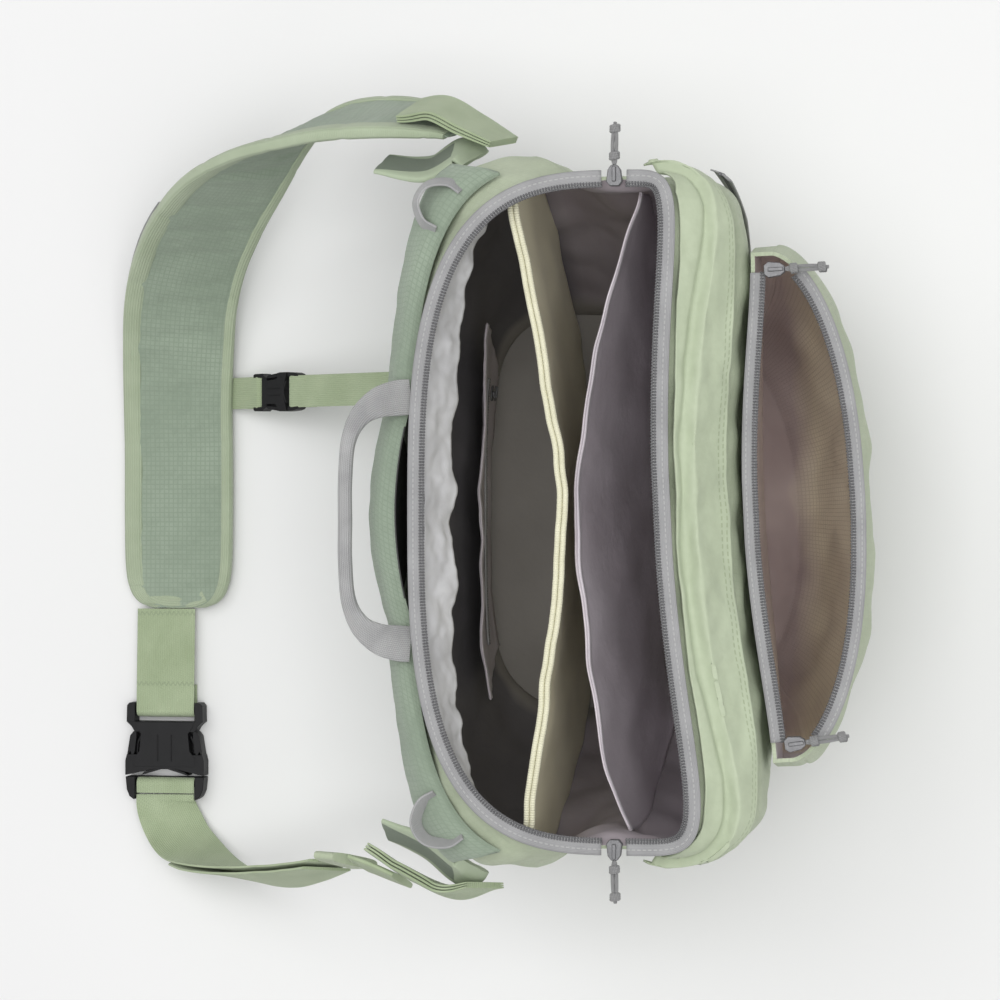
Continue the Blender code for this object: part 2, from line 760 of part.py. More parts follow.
def strap_webbing_lower(place):
    second_bar = place @ Vector((male_bar_x(BUCKLE), 0.0, 0.0))
    radius = BAR_RADIUS + GAP * 2 + WEBBING_THICKNESS / 2.0
    route = smooth_rows(from_buckle(WEBBING_ROUTE, second_bar.x), 4)
    band("strap_webbing_lower", route, WEBBING_WIDTH, WEBBING_THICKNESS, webbing_green())
    tail = smooth_rows(from_buckle(TAIL_ROUTE, second_bar.x), 4)
    step = -(WEBBING_THICKNESS + TAIL_GAP)
    band("strap_webbing_tail", tail[2:-1], WEBBING_WIDTH, WEBBING_THICKNESS, webbing_green(),
         shift=step)
    up = Vector((0.0, 0.0, 1.0))
    outward = Vector((1.0, 0.0, 0.0))
    loop = around_bar(second_bar, outward, up, radius, LOOP_TAIL)
    start = Vector(route[0][:3]) + Vector((GAP * 3, 0.0, 0.0))
    looped_band("strap_webbing_loop", [start, *loop[:9]], Vector((0.0, 1.0, 0.0)),
                WEBBING_WIDTH, WEBBING_THICKNESS, webbing_green())


def side_reach(y, height, side):
    """Half of the body's length at one place across it, from -1 or +1 side."""
    back, front = (points for _, points in body_outline(height))
    half = DENSE // 2
    line = [back[:half], front[half:]] if side > 0 else [back[half:], front[:half]]
    line = np.concatenate(line)
    order = np.argsort(line[:, 1])
    return float(np.interp(y, line[order, 1], line[order, 0]))


def hanging_sheet(name, ends, bow, top, thickness, look):
    """A lining sheet that stands across the bag between its two ends."""
    lift = FLOOR_THICKNESS + GAP * 3
    heights = [lift / BODY_HEIGHT, 0.14, 0.32, 0.55, 0.75, top / BODY_HEIGHT]
    inset = SHELL_WALL * 2.0 + LINING_GAP

    def point(share, height):
        low = Vector((side_reach(ends[1], height, -1) + inset, ends[1], 0.0))
        high = Vector((side_reach(ends[0], height, 1) - inset, ends[0], 0.0))
        place = low.lerp(high, (share + 1.0) / 2.0)
        rise = height * BODY_HEIGHT / top
        place.y += bow * (0.3 + 0.7 * rise**2) * (1.0 - abs(share) ** 1.5)
        place.z = height * BODY_HEIGHT - RIM_DIP * abs(share) ** 4 * height**6
        return place

    step = Vector((0.0, thickness, 0.0))
    rings = []
    for share in spread(-1.0, 1.0, 14):
        near = [point(share, height) for height in heights]
        far = [point(share, height) + step for height in reversed(heights)]
        rings.append(near + far)
    return loft(name, rings, look)


def wall_sheet(name, steps, heights, lean, thickness, look):
    """A sheet along the inside of the back wall that leans away from it."""
    inset = SHELL_WALL * 1.4 + LINING_GAP
    rings = []
    for step in range(steps[0], steps[1] + 1):
        turn = step / AROUND
        near = [beside_body(turn, h, -inset - lean(h)) for h in heights]
        far = [beside_body(turn, h, -inset - lean(h) - thickness) for h in reversed(heights)]
        rings.append(near + far)
    return loft(name, rings, look)


def linings():
    hanging_sheet("divider", DIVIDER_ENDS, -DIVIDER_BOW, DIVIDER_HEIGHT, DIVIDER_THICKNESS,
                  divider_cream())
    hanging_sheet("slip_pocket", SLIP_ENDS, SLIP_BOW, SLIP_HEIGHT, SHEET_THICKNESS,
                  lining_mauve())
    low, high = 1.0 - COLLAR_DROP, BAND_HEIGHTS[-1]
    collar_heights = (low, BAND_HEIGHTS[1], high)
    wall_sheet("collar_facing", COLLAR_STEPS, collar_heights,
               lambda h: COLLAR_WIDTH * (high - h) / (high - low), SHEET_THICKNESS, lining_grey())
    floor = (FLOOR_THICKNESS + GAP * 3) / BODY_HEIGHT
    wall_sheet("inner_pocket", INNER_POCKET_STEPS, (floor, 0.14, 0.32, INNER_POCKET_HEIGHT),
               inner_pocket_lean, SHEET_THICKNESS, lining_mauve())
    edge = INNER_TAPE_WIDTH / BODY_HEIGHT / 2.0
    out = SHEET_THICKNESS + GAP * 3
    wall_sheet("inner_pocket_zip", INNER_TAPE_STEPS,
               (INNER_TAPE_HEIGHT - edge, INNER_TAPE_HEIGHT + edge),
               lambda h: inner_pocket_lean(h) + out, TAPE_THICKNESS, zip_grey())


def inner_pocket_lean(height):
    return INNER_POCKET_LEAN * height / INNER_POCKET_HEIGHT


def placed(item, origin, out, up):
    """Stand an object with its local x along out and its local z along up."""
    side = up.cross(out).normalized()
    item.matrix_world = Matrix.Translation(origin) @ Matrix((out, side, up)).transposed().to_4x4()
    return item


def rounded_block(name, size, look):
    made = block(name, -size / 2.0, size / 2.0, look)
    soft = made.modifiers.new("edges", "BEVEL")
    soft.width = min(size) * 0.28
    soft.segments = 2
    return made


PULL_PROFILE = (
    (0.00, 1.2), (0.10, 2.0), (0.22, KNOT), (0.34, 1.8), (0.42, 1.0), (0.66, 1.0),
    (0.74, 1.8), (0.84, KNOT), (0.94, 1.8), (1.00, 0.8),
)


def pull(name, start, out, sink):
    """A knotted cord pull as one tube that swells at its two knots."""
    route = []
    for share, swell in PULL_PROFILE:
        place = start + out * (PULL_LENGTH * share) - Vector((0.0, 0.0, sink * share**2))
        route.append((*place, 0.0, swell, swell))
    return band(name, route, 2.0 * PULL_RADIUS, 2.0 * PULL_RADIUS, cord_grey(), 8, 2.0)


def zip_sliders():
    up = Vector((0.0, 0.0, 1.0))
    rim_lift = GAP * 3 + SLIDER.z / 2.0
    pocket_lift = TAPE_THICKNESS + GAP * 5 + SLIDER.z / 2.0
    ends = (
        ("main_zip_slider_a", beside_body(0.0, 1.0, 0.0), Vector((1.0, 0.0, 0.0)), rim_lift),
        ("main_zip_slider_b", beside_body(1.0, 1.0, 0.0), Vector((-1.0, 0.0, 0.0)), rim_lift),
        ("pocket_zip_slider_a", pocket_middle(0.93), Vector((0.05, -1.0, 0.0)), pocket_lift),
        ("pocket_zip_slider_b", pocket_middle(-0.93), Vector((0.15, -1.0, 0.0)), pocket_lift),
    )
    for name, point, out, lift in ends:
        out.normalize()
        centre = point + up * lift
        slider = placed(rounded_block(name, SLIDER, zip_grey()), centre, out, up)
        slider.name = name
        start = centre + out * (SLIDER.x / 2.0 + GAP)
        pull(name.replace("slider", "pull"), start, out, PULL_SINK)


def pocket_middle(across):
    """A point between the pocket's two zip lines."""
    inner = pocket_point(across, POCKET_TOP, 0.0, False)
    outer = pocket_point(across, POCKET_TOP, 0.0, True)
    middle = inner.lerp(outer, 0.5)
    middle.z = max(inner.z, outer.z)
    return middle


def inner_slider():
    turn = INNER_TAPE_STEPS[0] / AROUND + 0.02
    out = SHELL_WALL * 1.4 + LINING_GAP + inner_pocket_lean(INNER_TAPE_HEIGHT)
    out += SHEET_THICKNESS + TAPE_THICKNESS + GAP * 6 + INNER_SLIDER.z / 2.0
    point = beside_body(turn, INNER_TAPE_HEIGHT, -out)
    face = -level_normal(turn, INNER_TAPE_HEIGHT)
    along = Vector((0.0, 0.0, 1.0)).cross(face)
    placed(rounded_block("inner_zip_slider", INNER_SLIDER, zip_grey()), point, along, face)


def grab_handle():
    start = on_body(0.5, HANDLE_SEAT, 0.0)
    rows = (
        (1.00, 0.00, 0.000, 1.00, 0.28), (0.99, 0.22, 0.002, 1.00, 0.28),
        (0.95, 0.50, 0.006, 0.86, 0.40), (0.84, 0.78, 0.010, 0.60, 0.72),
        (0.64, 0.95, 0.013, 0.42, 1.00), (0.32, 1.00, 0.014, 0.39, 1.00),
        (0.00, 1.00, 0.014, 0.39, 1.00),
    )
    whole = rows + tuple((-a, *rest) for a, *rest in reversed(rows[:-1]))
    seat = side_line(HANDLE_HALF_SPAN)
    route = []
    for along, out, rise, width, thick in whole:
        y = seat + HANDLE_STAND + (start.y + HANDLE_REACH - seat) * out
        route.append((HANDLE_CENTRE_X + along * HANDLE_HALF_SPAN, y, start.z + rise, 0.0,
                      width, thick))
    band("grab_handle", smooth_rows(route, 2), HANDLE_WIDTH, HANDLE_TUBE, webbing_grey(), 10, 2.6)


def side_line(x):
    """The back wall's place across the bag where the handle is sewn on."""
    _, points = body_outline(HANDLE_SEAT)[0]
    return float(np.interp(-x, -points[:, 0], points[:, 1]))


def gear_loops():
    for name, turn in zip(("gear_loop_a", "gear_loop_b"), GEAR_LOOP_TURNS):
        out = level_normal(turn, GEAR_SEAT)
        legs = [on_body(turn + side * GEAR_SPREAD, GEAR_SEAT, GEAR_STAND) for side in (-1, 1)]
        middle = (legs[0] + legs[1]) / 2.0
        rows = [legs[0], legs[0] + out * GEAR_REACH * 0.45,
                legs[0].lerp(middle, 0.45) + out * GEAR_REACH * 0.88, middle + out * GEAR_REACH,
                legs[1].lerp(middle, 0.45) + out * GEAR_REACH * 0.88,
                legs[1] + out * GEAR_REACH * 0.45, legs[1]]
        tilt = -GEAR_TILT if turn < 0.5 else GEAR_TILT
        route = smooth_rows([(*row, 90.0 + tilt, 1.0, 1.0) for row in rows], 2)
        band(name, route, GEAR_WEBBING_WIDTH, SMALL_WEBBING_THICKNESS, webbing_grey())


def anchors():
    for name, side, end in (("strap_wing_upper", 0.0, UPPER_WING_END),
                            ("strap_wing_lower", 1.0, LOWER_WING_END)):
        inward = 1.0 if side == 0.0 else -1.0
        root = on_body(side + inward * WING_TURN, WING_SEAT, WING_ROOT_OUT)
        route = [(*root, 90.0, 1.0, WING_ROOT), *laid(end, 0.0)]
        band(name, smooth_rows(route, 3), WING_HEIGHT, WING_THICKNESS, pad_fabric(), 10, 3.4)
    for name, stations in (("strap_tab_upper", UPPER_TAB), ("strap_tab_lower", LOWER_TAB)):
        band(name, smooth_rows(laid(stations, 0.0), 3), WEBBING_WIDTH, TAB_THICKNESS,
             webbing_green(), 8, 4.0)
    band("strap_loop_lower", smooth_rows(laid(LOOP_ROUTE, 0.0), 2), WEBBING_WIDTH,
         LOOP_THICKNESS, webbing_green(), 8, 4.0)
    band("strap_keeper", laid(KEEPER_ROUTE, 0.0), WEBBING_WIDTH * 1.06, KEEPER_THICKNESS,
         shell_fabric(), 8, 4.0)


def sternum_strap():
    """The narrow cross strap from the pad's inner edge to the back panel, with its buckle."""
    level = Vector((-1.0, 0.0, 0.0))
    pad_edge = Vector((STERNUM_X, STRAP_REACH - PAD_WIDTH / 2.0 - GAP * 3, pad_rest()))
    face = panel_face(STERNUM_X, STERNUM_HEIGHT)
    bag_end = Vector((STERNUM_X, face + GAP * 6, STERNUM_HEIGHT * BODY_HEIGHT))
    along = (bag_end - pad_edge).normalized()
    upward = along.cross(level).normalized()
    upward = upward if upward.z > 0 else -upward
    first = pad_edge + along * (STRAP_REACH - PAD_WIDTH / 2.0 - SMALL_BUCKLE_Y)
    place = buckle_frame(first, along, upward)
    buckle("sternum_buckle", SMALL_BUCKLE, SMALL_WEBBING_WIDTH, SMALL_BAR_RADIUS, place)
    radius = SMALL_BAR_RADIUS + GAP * 2 + SMALL_WEBBING_THICKNESS / 2.0
    ends = (
        ("sternum_webbing_pad", pad_edge, female_bar_x(SMALL_BUCKLE), along),
        ("sternum_webbing_bag", bag_end, male_bar_x(SMALL_BUCKLE), -along),
    )
    for name, start, bar_x, inward in ends:
        bar_place = place @ Vector((bar_x, 0.0, 0.0))
        over = bar_place + upward * radius
        lead = [start.lerp(over, share) for share in (0.0, 0.5, 0.85)]
        tail = min(LOOP_TAIL, (start - bar_place).length * 0.6)
        points = lead + around_bar(bar_place, inward, upward, radius, tail)
        looped_band(name, points, level, SMALL_WEBBING_WIDTH, SMALL_WEBBING_THICKNESS,
                    webbing_green())


def panel_face(x, height):
    """Place across the bag of the back panel's outer face."""
    _, points = body_outline(height)[0]
    turns = spread(0.2, 0.8, 120)
    turn = min(turns, key=lambda t: abs(on_outline(t, height).x - x))
    crown = PANEL_CROWN * sin(pi * (turn * AROUND - PANEL_STEPS[0]) / (PANEL_STEPS[1] - PANEL_STEPS[0])) ** 3
    return on_body(turn, height, GAP * 3 + PANEL_THICKNESS + crown).y


def side_zip():
    """The closed zip that runs down the front's +X corner."""
    rings = []
    half = SIDE_TAPE_WIDTH / 2.0
    for share in spread(0.0, 1.0, 10):
        height = SIDE_ZIP_HEIGHTS[0] + (SIDE_ZIP_HEIGHTS[1] - SIDE_ZIP_HEIGHTS[0]) * share
        turn = 2.0 - SIDE_ZIP_TURNS[0] - (SIDE_ZIP_TURNS[1] - SIDE_ZIP_TURNS[0]) * share
        span = half / BODY_LINE
        low = [on_body(turn + s * span, height, GAP * 4) for s in (-1, 0, 1)]
        high = [on_body(turn + s * span, height, GAP * 4 + TAPE_THICKNESS) for s in (1, 0, -1)]
        rings.append(low + high)
    return loft("side_zip", rings, zip_grey())


def build():
    clear_scene()
    main_shell()
    back_panel()
    front_band()
    front_pocket()
    main_zip()
    pocket_zip()
    linings()
    zip_sliders()
    inner_slider()
    side_zip()
    grab_handle()
    gear_loops()
    anchors()
    strap_pad()
    strap_under_webbing()
    place = main_buckle()
    buckle_webbing(place)
    strap_webbing_lower(place)
    sternum_strap()


build()
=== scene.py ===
from functools import lru_cache, reduce
from math import cos, pi, radians, sin, tau

import bmesh
import bpy
import numpy as np
from mathutils import Matrix, Vector, noise


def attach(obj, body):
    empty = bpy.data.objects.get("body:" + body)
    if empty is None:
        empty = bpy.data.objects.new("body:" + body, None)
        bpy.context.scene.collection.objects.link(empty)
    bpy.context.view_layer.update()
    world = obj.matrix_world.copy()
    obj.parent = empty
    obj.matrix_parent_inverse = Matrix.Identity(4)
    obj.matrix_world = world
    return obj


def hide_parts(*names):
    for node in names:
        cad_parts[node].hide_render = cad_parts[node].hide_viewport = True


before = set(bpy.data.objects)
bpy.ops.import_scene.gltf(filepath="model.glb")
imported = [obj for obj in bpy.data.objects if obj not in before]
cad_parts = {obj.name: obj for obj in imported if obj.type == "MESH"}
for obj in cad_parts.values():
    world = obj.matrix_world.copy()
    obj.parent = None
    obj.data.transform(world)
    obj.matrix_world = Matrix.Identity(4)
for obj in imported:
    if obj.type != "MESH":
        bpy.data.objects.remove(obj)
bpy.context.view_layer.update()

# The studio: a pale seamless floor under large soft lights, with the camera almost straight
# overhead, so that the bag's padded end points up the picture as in the photograph.
VIEW_ELEVATION = radians(80)
VIEW_DISTANCE = 1.90
VIEW_TARGET = Vector((0.009, 0.045, 0.110))
LENS = 114.5
SENSOR_WIDTH = 36.0
LIGHTS_AIM = Vector((0.0, 0.03, 0.1))
AIR_STRENGTH = 0.50
PAPER_HALF_SIZE = 6.0
PAPER_DROP = 0.0004


def linked(name, data):
    """An object in the scene that holds the given data."""
    made = bpy.data.objects.new(name, data)
    bpy.context.scene.collection.objects.link(made)
    return made


def placed(spot, x, y, z):
    """A place whose own axes point along three directions."""
    return Matrix.Translation(spot) @ Matrix((x, y, z)).transposed().to_4x4()


looking = Vector((0.0, cos(VIEW_ELEVATION), -sin(VIEW_ELEVATION)))
picture_up = Vector((1.0, 0.0, 0.0))
camera_data = bpy.data.cameras.new("studio_camera")
camera_data.lens = LENS
camera_data.sensor_width = SENSOR_WIDTH
camera = linked("studio_camera", camera_data)
camera.matrix_world = placed(VIEW_TARGET - looking * VIEW_DISTANCE, looking.cross(picture_up),
                             picture_up, -looking)
bpy.context.scene.camera = camera

for tag, spot, power, size in (
    ("key", (0.9, 0.9, 2.2), 13.0, 1.4),
    ("fill", (-0.6, -1.6, 1.6), 6.0, 2.0),
    ("top", (0.0, -0.3, 2.6), 36.0, 1.6),
):
    lamp_data = bpy.data.lights.new("light_" + tag, "AREA")
    lamp_data.energy = power
    lamp_data.size = size
    lamp = linked("light_" + tag, lamp_data)
    lamp.location = spot
    lamp.rotation_mode = "QUATERNION"
    lamp.rotation_quaternion = (LIGHTS_AIM - lamp.location).to_track_quat("-Z", "Y")

studio_air = bpy.data.worlds.new("studio_air")
studio_air.use_nodes = True
background = studio_air.node_tree.nodes["Background"]
background.inputs["Color"].default_value = (1.0, 1.0, 1.0, 1.0)
background.inputs["Strength"].default_value = AIR_STRENGTH
bpy.context.scene.world = studio_air
bpy.context.scene.view_settings.view_transform = "Standard"


class Signal:
    """A value inside a finish. A sum on it adds a Math node."""

    def __init__(self, finish, socket):
        self.finish = finish
        self.socket = socket

    def sum(self, operation, *others):
        inputs = dict(enumerate((self, *others)))
        return self.finish.node("ShaderNodeMath", {"operation": operation}, inputs)

    def __add__(self, other):
        return self.sum("ADD", other)

    def __mul__(self, other):
        return self.sum("MULTIPLY", other)

    def __sub__(self, other):
        return self.sum("SUBTRACT", other)

    def __truediv__(self, other):
        return self.sum("DIVIDE", other)

    def __rsub__(self, other):
        return (self * -1.0).sum("ADD", other)

    __radd__ = __add__
    __rmul__ = __mul__

    def __gt__(self, other):
        return self.sum("GREATER_THAN", other)

    def __lt__(self, other):
        return self.sum("LESS_THAN", other)

    def size(self):
        return self.sum("ABSOLUTE")

    def part(self):
        return self.sum("FRACT")

    def wave(self, pitch):
        return (self * (tau / pitch)).sum("SINE")

    def most(self, other):
        return self.sum("MAXIMUM", other)


class Finish:
    """A material whose pattern follows the piece's own cloth map, in metres, or its place."""

    def __init__(self, name, roughness, sheen=0.0, specular=0.4):
        self.made = bpy.data.materials.new(name)
        self.made.use_nodes = True
        self.tree = self.made.node_tree
        self.shader = self.tree.nodes["Principled BSDF"]
        self.shader.inputs["Roughness"].default_value = roughness
        self.shader.inputs["Sheen Weight"].default_value = sheen
        self.shader.inputs["Specular IOR Level"].default_value = specular

    def node(self, kind, settings=None, inputs=None, output=0):
        added = self.tree.nodes.new(kind)
        for field, value in (settings or {}).items():
            setattr(added, field, value)
        for key, value in (inputs or {}).items():
            if isinstance(value, Signal):
                self.tree.links.new(value.socket, added.inputs[key])
            else:
                added.inputs[key].default_value = value
        return Signal(self, added.outputs[output])

    def cloth(self):
        """Metres along and across the piece."""
        at = self.node("ShaderNodeUVMap", {"uv_map": "cloth"})
        return [self.node("ShaderNodeSeparateXYZ", None, {0: at}, axis) for axis in (0, 1)]

    def place(self):
        """The piece's own x, y and z, in metres."""
        at = self.node("ShaderNodeTexCoord", None, None, 3)
        return [self.node("ShaderNodeSeparateXYZ", None, {0: at}, axis) for axis in range(3)]

    def mottle(self, scale, detail=2.0, stretch=(1.0, 1.0, 1.0)):
        at = self.node("ShaderNodeTexCoord", None, None, 3)
        longer = self.node("ShaderNodeMapping", None, {"Vector": at, "Scale": stretch})
        return self.node("ShaderNodeTexNoise", None, {"Vector": longer, "Scale": scale, "Detail": detail})

    def blend(self, share, first, second):
        tones = [(*tone, 1.0) if isinstance(tone, tuple) else tone for tone in (first, second)]
        settings = {"data_type": "RGBA", "clamp_factor": True}
        return self.node("ShaderNodeMix", settings, {0: share, 6: tones[0], 7: tones[1]}, 2)

    def dyed(self, shade, tone):
        """The faintly uneven dye of the bag's outer fabric."""
        uneven = self.mottle(22.0, 3.0) + (self.mottle(240.0, 2.0) - 0.5) * 0.5
        return self.blend(uneven * 1.4 - 0.25, shade, tone)

    def paint(self, colour):
        self.tree.links.new(colour.socket, self.shader.inputs["Base Color"])
        return self

    def tinted(self, scale, shade, tone, detail=2.0):
        """Paints with a colour that wanders between two tones."""
        return self.paint(self.blend(self.mottle(scale, detail), shade, tone))

    def gloss(self, roughness):
        self.tree.links.new(roughness.socket, self.shader.inputs["Roughness"])
        return self

    def relief(self, height, depth, strength=1.0):
        inputs = {"Height": height, "Strength": strength, "Distance": depth}
        normal = self.node("ShaderNodeBump", None, inputs)
        self.tree.links.new(normal.socket, self.shader.inputs["Normal"])
        return self


floor_paper = Finish("studio_paper", 0.9).tinted(3.0, (0.79, 0.79, 0.79), (0.81, 0.81, 0.81))
bm = bmesh.new()
bmesh.ops.create_grid(bm, x_segments=8, y_segments=8, size=PAPER_HALF_SIZE)
floor_mesh = bpy.data.meshes.new("studio_floor")
bm.to_mesh(floor_mesh)
bm.free()
floor_mesh.materials.append(floor_paper.made)
studio_floor = linked("studio_floor", floor_mesh)
studio_floor.location.z = -PAPER_DROP

# The bag's body: coated plain-weave nylon in sage green over thin foam, with a grey-brown
# lining, cut as a wide gusset and two panels and sewn inside out before it is turned.
BODY_HEIGHT = 0.250
BODY_HALF_LENGTH = 0.2085
BODY_BACK = 0.084
BODY_FRONT = 0.142
BODY_CENTRE_X = 0.002
FRONT_SKEW = 0.009
RIM_DIP = 0.008
PINCH_Y = -0.034
PINCH_WIDTH = 0.024
FRONT_TAPER = 0.60
TAPER_REACH = 0.060
SHELL_WALL = 0.0025
GAP = 0.0003
DENSE = 720
SHELL_COLUMNS = 440
SHELL_ROWS = 84
SIDE_STEP = 0.012
RISE_STEP = 0.02
STILL_REACH = 0.03
SAME_POINT = 0.000002
# height, half length, back, front, middle, corners at the back and front, bow, pinch
BODY_LEVELS = np.array((
    (0.00, 0.600, 0.90, 0.60, 0.05, 3.2, 3.6, 0.00, 0.000),
    (0.04, 0.640, 0.93, 0.66, 0.05, 3.2, 3.8, 0.01, 0.010),
    (0.14, 0.735, 0.96, 0.76, 0.05, 3.2, 4.2, 0.05, 0.030),
    (0.32, 0.865, 0.99, 0.87, 0.06, 3.3, 4.6, 0.11, 0.052),
    (0.55, 0.965, 1.00, 0.95, 0.10, 3.5, 4.8, 0.17, 0.068),
    (0.75, 1.000, 0.98, 1.00, 0.12, 3.6, 5.0, 0.22, 0.076),
    (0.88, 0.980, 0.93, 0.99, 0.02, 3.5, 5.0, 0.21, 0.070),
    (0.94, 0.940, 0.88, 0.80, -0.24, 3.2, 5.5, 0.16, 0.048),
    (1.00, 0.890, 0.82, 0.62, -0.51, 3.0, 6.0, 0.12, 0.000),
))


def run_along(points):
    """Metres from a line's start to each of its points."""
    steps = np.linalg.norm(np.diff(points, axis=0), axis=1)
    return np.concatenate([[0.0], np.cumsum(steps)])


@lru_cache(maxsize=None)
def body_outline(height):
    """The back half and the front half of the body's outline, each with its arc shares."""
    columns = (np.interp(height, BODY_LEVELS[:, 0], BODY_LEVELS[:, k]) for k in range(1, 9))
    length, back, front, middle, round_back, round_front, bow, pinch = columns
    halves = []
    for ahead in (False, True):
        angle = np.linspace(0.0, pi, DENSE) + (pi if ahead else 0.0)
        power = 2.0 / (round_front if ahead else round_back)
        side = np.abs(np.sin(angle)) ** power
        along = np.sign(np.cos(angle)) * np.abs(np.cos(angle)) ** power
        reach = -front * BODY_FRONT if ahead else back * BODY_BACK
        y = middle * BODY_BACK + (reach - middle * BODY_BACK) * side
        if ahead:
            y += (bow * BODY_FRONT * (1.0 - along**2) + FRONT_SKEW * along) * side
        waist = np.exp(-(((y - PINCH_Y) / PINCH_WIDTH) ** 2))
        squeeze = 1.0 - pinch * (waist + FRONT_TAPER * np.clip(-y / TAPER_REACH, 0.0, 1.0))
        x = BODY_CENTRE_X + length * BODY_HALF_LENGTH * along * squeeze
        z = BODY_HEIGHT * height - RIM_DIP * np.abs(along) ** 4 * height**6
        points = np.stack([x, y, z], axis=1)
        share = run_along(points)
        halves.append((share / share[-1], points))
    return halves


def on_outline(turns, height):
    """Points of the body's face at one height. Turn 0 is the +X zip end, 1 the -X one."""
    turns = np.atleast_1d(turns) % 2.0
    made = np.empty((len(turns), 3))
    for half, (share, points) in enumerate(body_outline(round(float(height), 5))):
        chosen = (turns >= 1.0) == bool(half)
        for axis in range(3):
            made[chosen, axis] = np.interp(turns[chosen] % 1.0, share, points[:, axis])
    return made


def unit(vectors):
    return vectors / np.maximum(np.linalg.norm(vectors, axis=-1, keepdims=True), 1e-12)


def right_of(along):
    """Level directions to the right of a way along, which is out of the bag on its outline."""
    return unit(np.stack([along[:, 1], -along[:, 0], 0.0 * along[:, 0]], axis=1))


def way_along(turns, height):
    turns = np.asarray(turns)
    return on_outline(turns + SIDE_STEP, height) - on_outline(turns - SIDE_STEP, height)


def level_out(turns, height):
    return right_of(way_along(turns, height))


def face_out(turns, height):
    above = on_outline(turns, min(height + RISE_STEP, 1.0))
    below = on_outline(turns, max(height - RISE_STEP, 0.0))
    return unit(np.cross(way_along(turns, height), above - below))


def on_body(turns, height, out=0.0):
    return on_outline(turns, height) + face_out(turns, height) * np.reshape(out, (-1, 1))


def beside_body(turns, height, out=0.0):
    return on_outline(turns, height) + level_out(turns, height) * np.reshape(out, (-1, 1))


def eased(points, passes, axis=0, closed=False):
    """Points with each one drawn towards its neighbours along one direction of a patch."""
    made = np.array(points, dtype=float)
    for _ in range(passes):
        before, after = np.roll(made, 1, axis), np.roll(made, -1, axis)
        mean = (before + 2.0 * made + after) / 4.0
        if not closed:
            inner = [slice(None)] * made.ndim
            inner[axis] = slice(1, -1)
            made[tuple(inner)] = mean[tuple(inner)]
        else:
            made = mean
    return made


def outward(points, closed=False):
    """The way out of a patch at each of its points; a closed one meets itself at its sides."""
    along = np.gradient(points, axis=1)
    if closed:
        along[:, 0] = along[:, -1] = (points[:, 1] - points[:, -2]) / 2.0
    return unit(np.cross(along, np.gradient(points, axis=0)))


def creased(points, depth, spacing, seed, stretch=(1.0, 1.0, 1.0), up=None, share=0.5):
    """A patch with soft creases: depth in metres, spacing between them, most of them inward."""
    out = outward(points) if up is None else up
    made = points.copy()
    scale = np.array(stretch) / spacing
    for index in np.ndindex(points.shape[:2]):
        spot = Vector(points[index] * scale) + Vector((seed, seed * 1.7, 0.0))
        folds = noise.noise(spot) + 0.5 * noise.noise(spot * 2.3) + share - 1.0
        made[index] += out[index] * depth * folds
    return made


def cloth_map(points):
    """Metres along and up a patch for its weave and its stitches."""
    along = np.linalg.norm(np.diff(points, axis=1), axis=2)
    rise = np.linalg.norm(np.diff(points, axis=0), axis=2)
    u = np.concatenate([np.zeros((len(points), 1)), np.cumsum(along, axis=1)], axis=1)
    u = np.repeat(u[len(u) // 2][None], len(u), axis=0)
    v = np.concatenate([np.zeros((1, points.shape[1])), np.cumsum(rise, axis=0)], axis=0)
    return np.stack([u, v], axis=2)


def gridded(points, marks, cap):
    """A grid laid onto rows of points, with its cloth map and, for a cap, closed ends."""
    rows, columns = points.shape[0] - 1, points.shape[1] - 1
    if cap:
        points = points.copy()
        points[:, -1] = points[:, 0]
    bm = bmesh.new()
    bmesh.ops.create_grid(bm, x_segments=columns, y_segments=rows, size=0.5)
    layer = bm.loops.layers.uv.new("cloth")
    spots = {vert: (round((vert.co.y + 0.5) * rows), round((vert.co.x + 0.5) * columns))
             for vert in bm.verts}
    for face in bm.faces:
        for loop in face.loops:
            loop[layer].uv = marks[spots[loop.vert]]
    for vert, spot in spots.items():
        vert.co = points[spot]
    bmesh.ops.remove_doubles(bm, verts=bm.verts, dist=SAME_POINT)
    if cap:
        bmesh.ops.holes_fill(bm, edges=[edge for edge in bm.edges if edge.is_boundary], sides=0)
        bmesh.ops.recalc_face_normals(bm, faces=bm.faces)
    return bm


def patch(name, points, looks, marks=None, wall=0.0, offset=-1.0, cap=False, sharp=50.0):
    """A sewn piece from rows of points, given a wall or closed ends."""
    marks = cloth_map(points) if marks is None else marks
    return sewn(name, gridded(points, marks, cap), looks, wall, offset, sharp)


def sewn(name, bm, looks, wall=0.0, offset=-1.0, sharp=50.0):
    """A finished bmesh as a named piece that rides with the bag."""
    mesh = bpy.data.meshes.new(name)
    bm.to_mesh(mesh)
    bm.free()
    for look in looks if isinstance(looks, (list, tuple)) else [looks]:
        mesh.materials.append(look.made)
    mesh.shade_smooth()
    mesh.set_sharp_from_angle(angle=radians(sharp))
    made = linked(name, mesh)
    if wall:
        solid = made.modifiers.new("wall", "SOLIDIFY")
        solid.thickness = wall
        solid.offset = offset
        solid.material_offset = 1 if len(mesh.materials) > 1 else 0
        solid.use_even_offset = False
    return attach(made, "root")


def ripstop(finish, tone, shade, grid, threads=0.00055, lines=0.10, show=0.3):
    """A plain weave with a raised check, faintly uneven in its dye."""
    along, across = finish.cloth()
    check = ((along / grid).part() < lines).most((across / grid).part() < lines)
    weave = along.wave(threads) * across.wave(threads)
    finish.paint(finish.blend(check * show, finish.dyed(shade, tone), shade))
    finish.relief(check * 0.5 + weave * 0.25 + finish.mottle(90.0, 3.0) * 1.6, 0.0006, 0.55)
    return finish


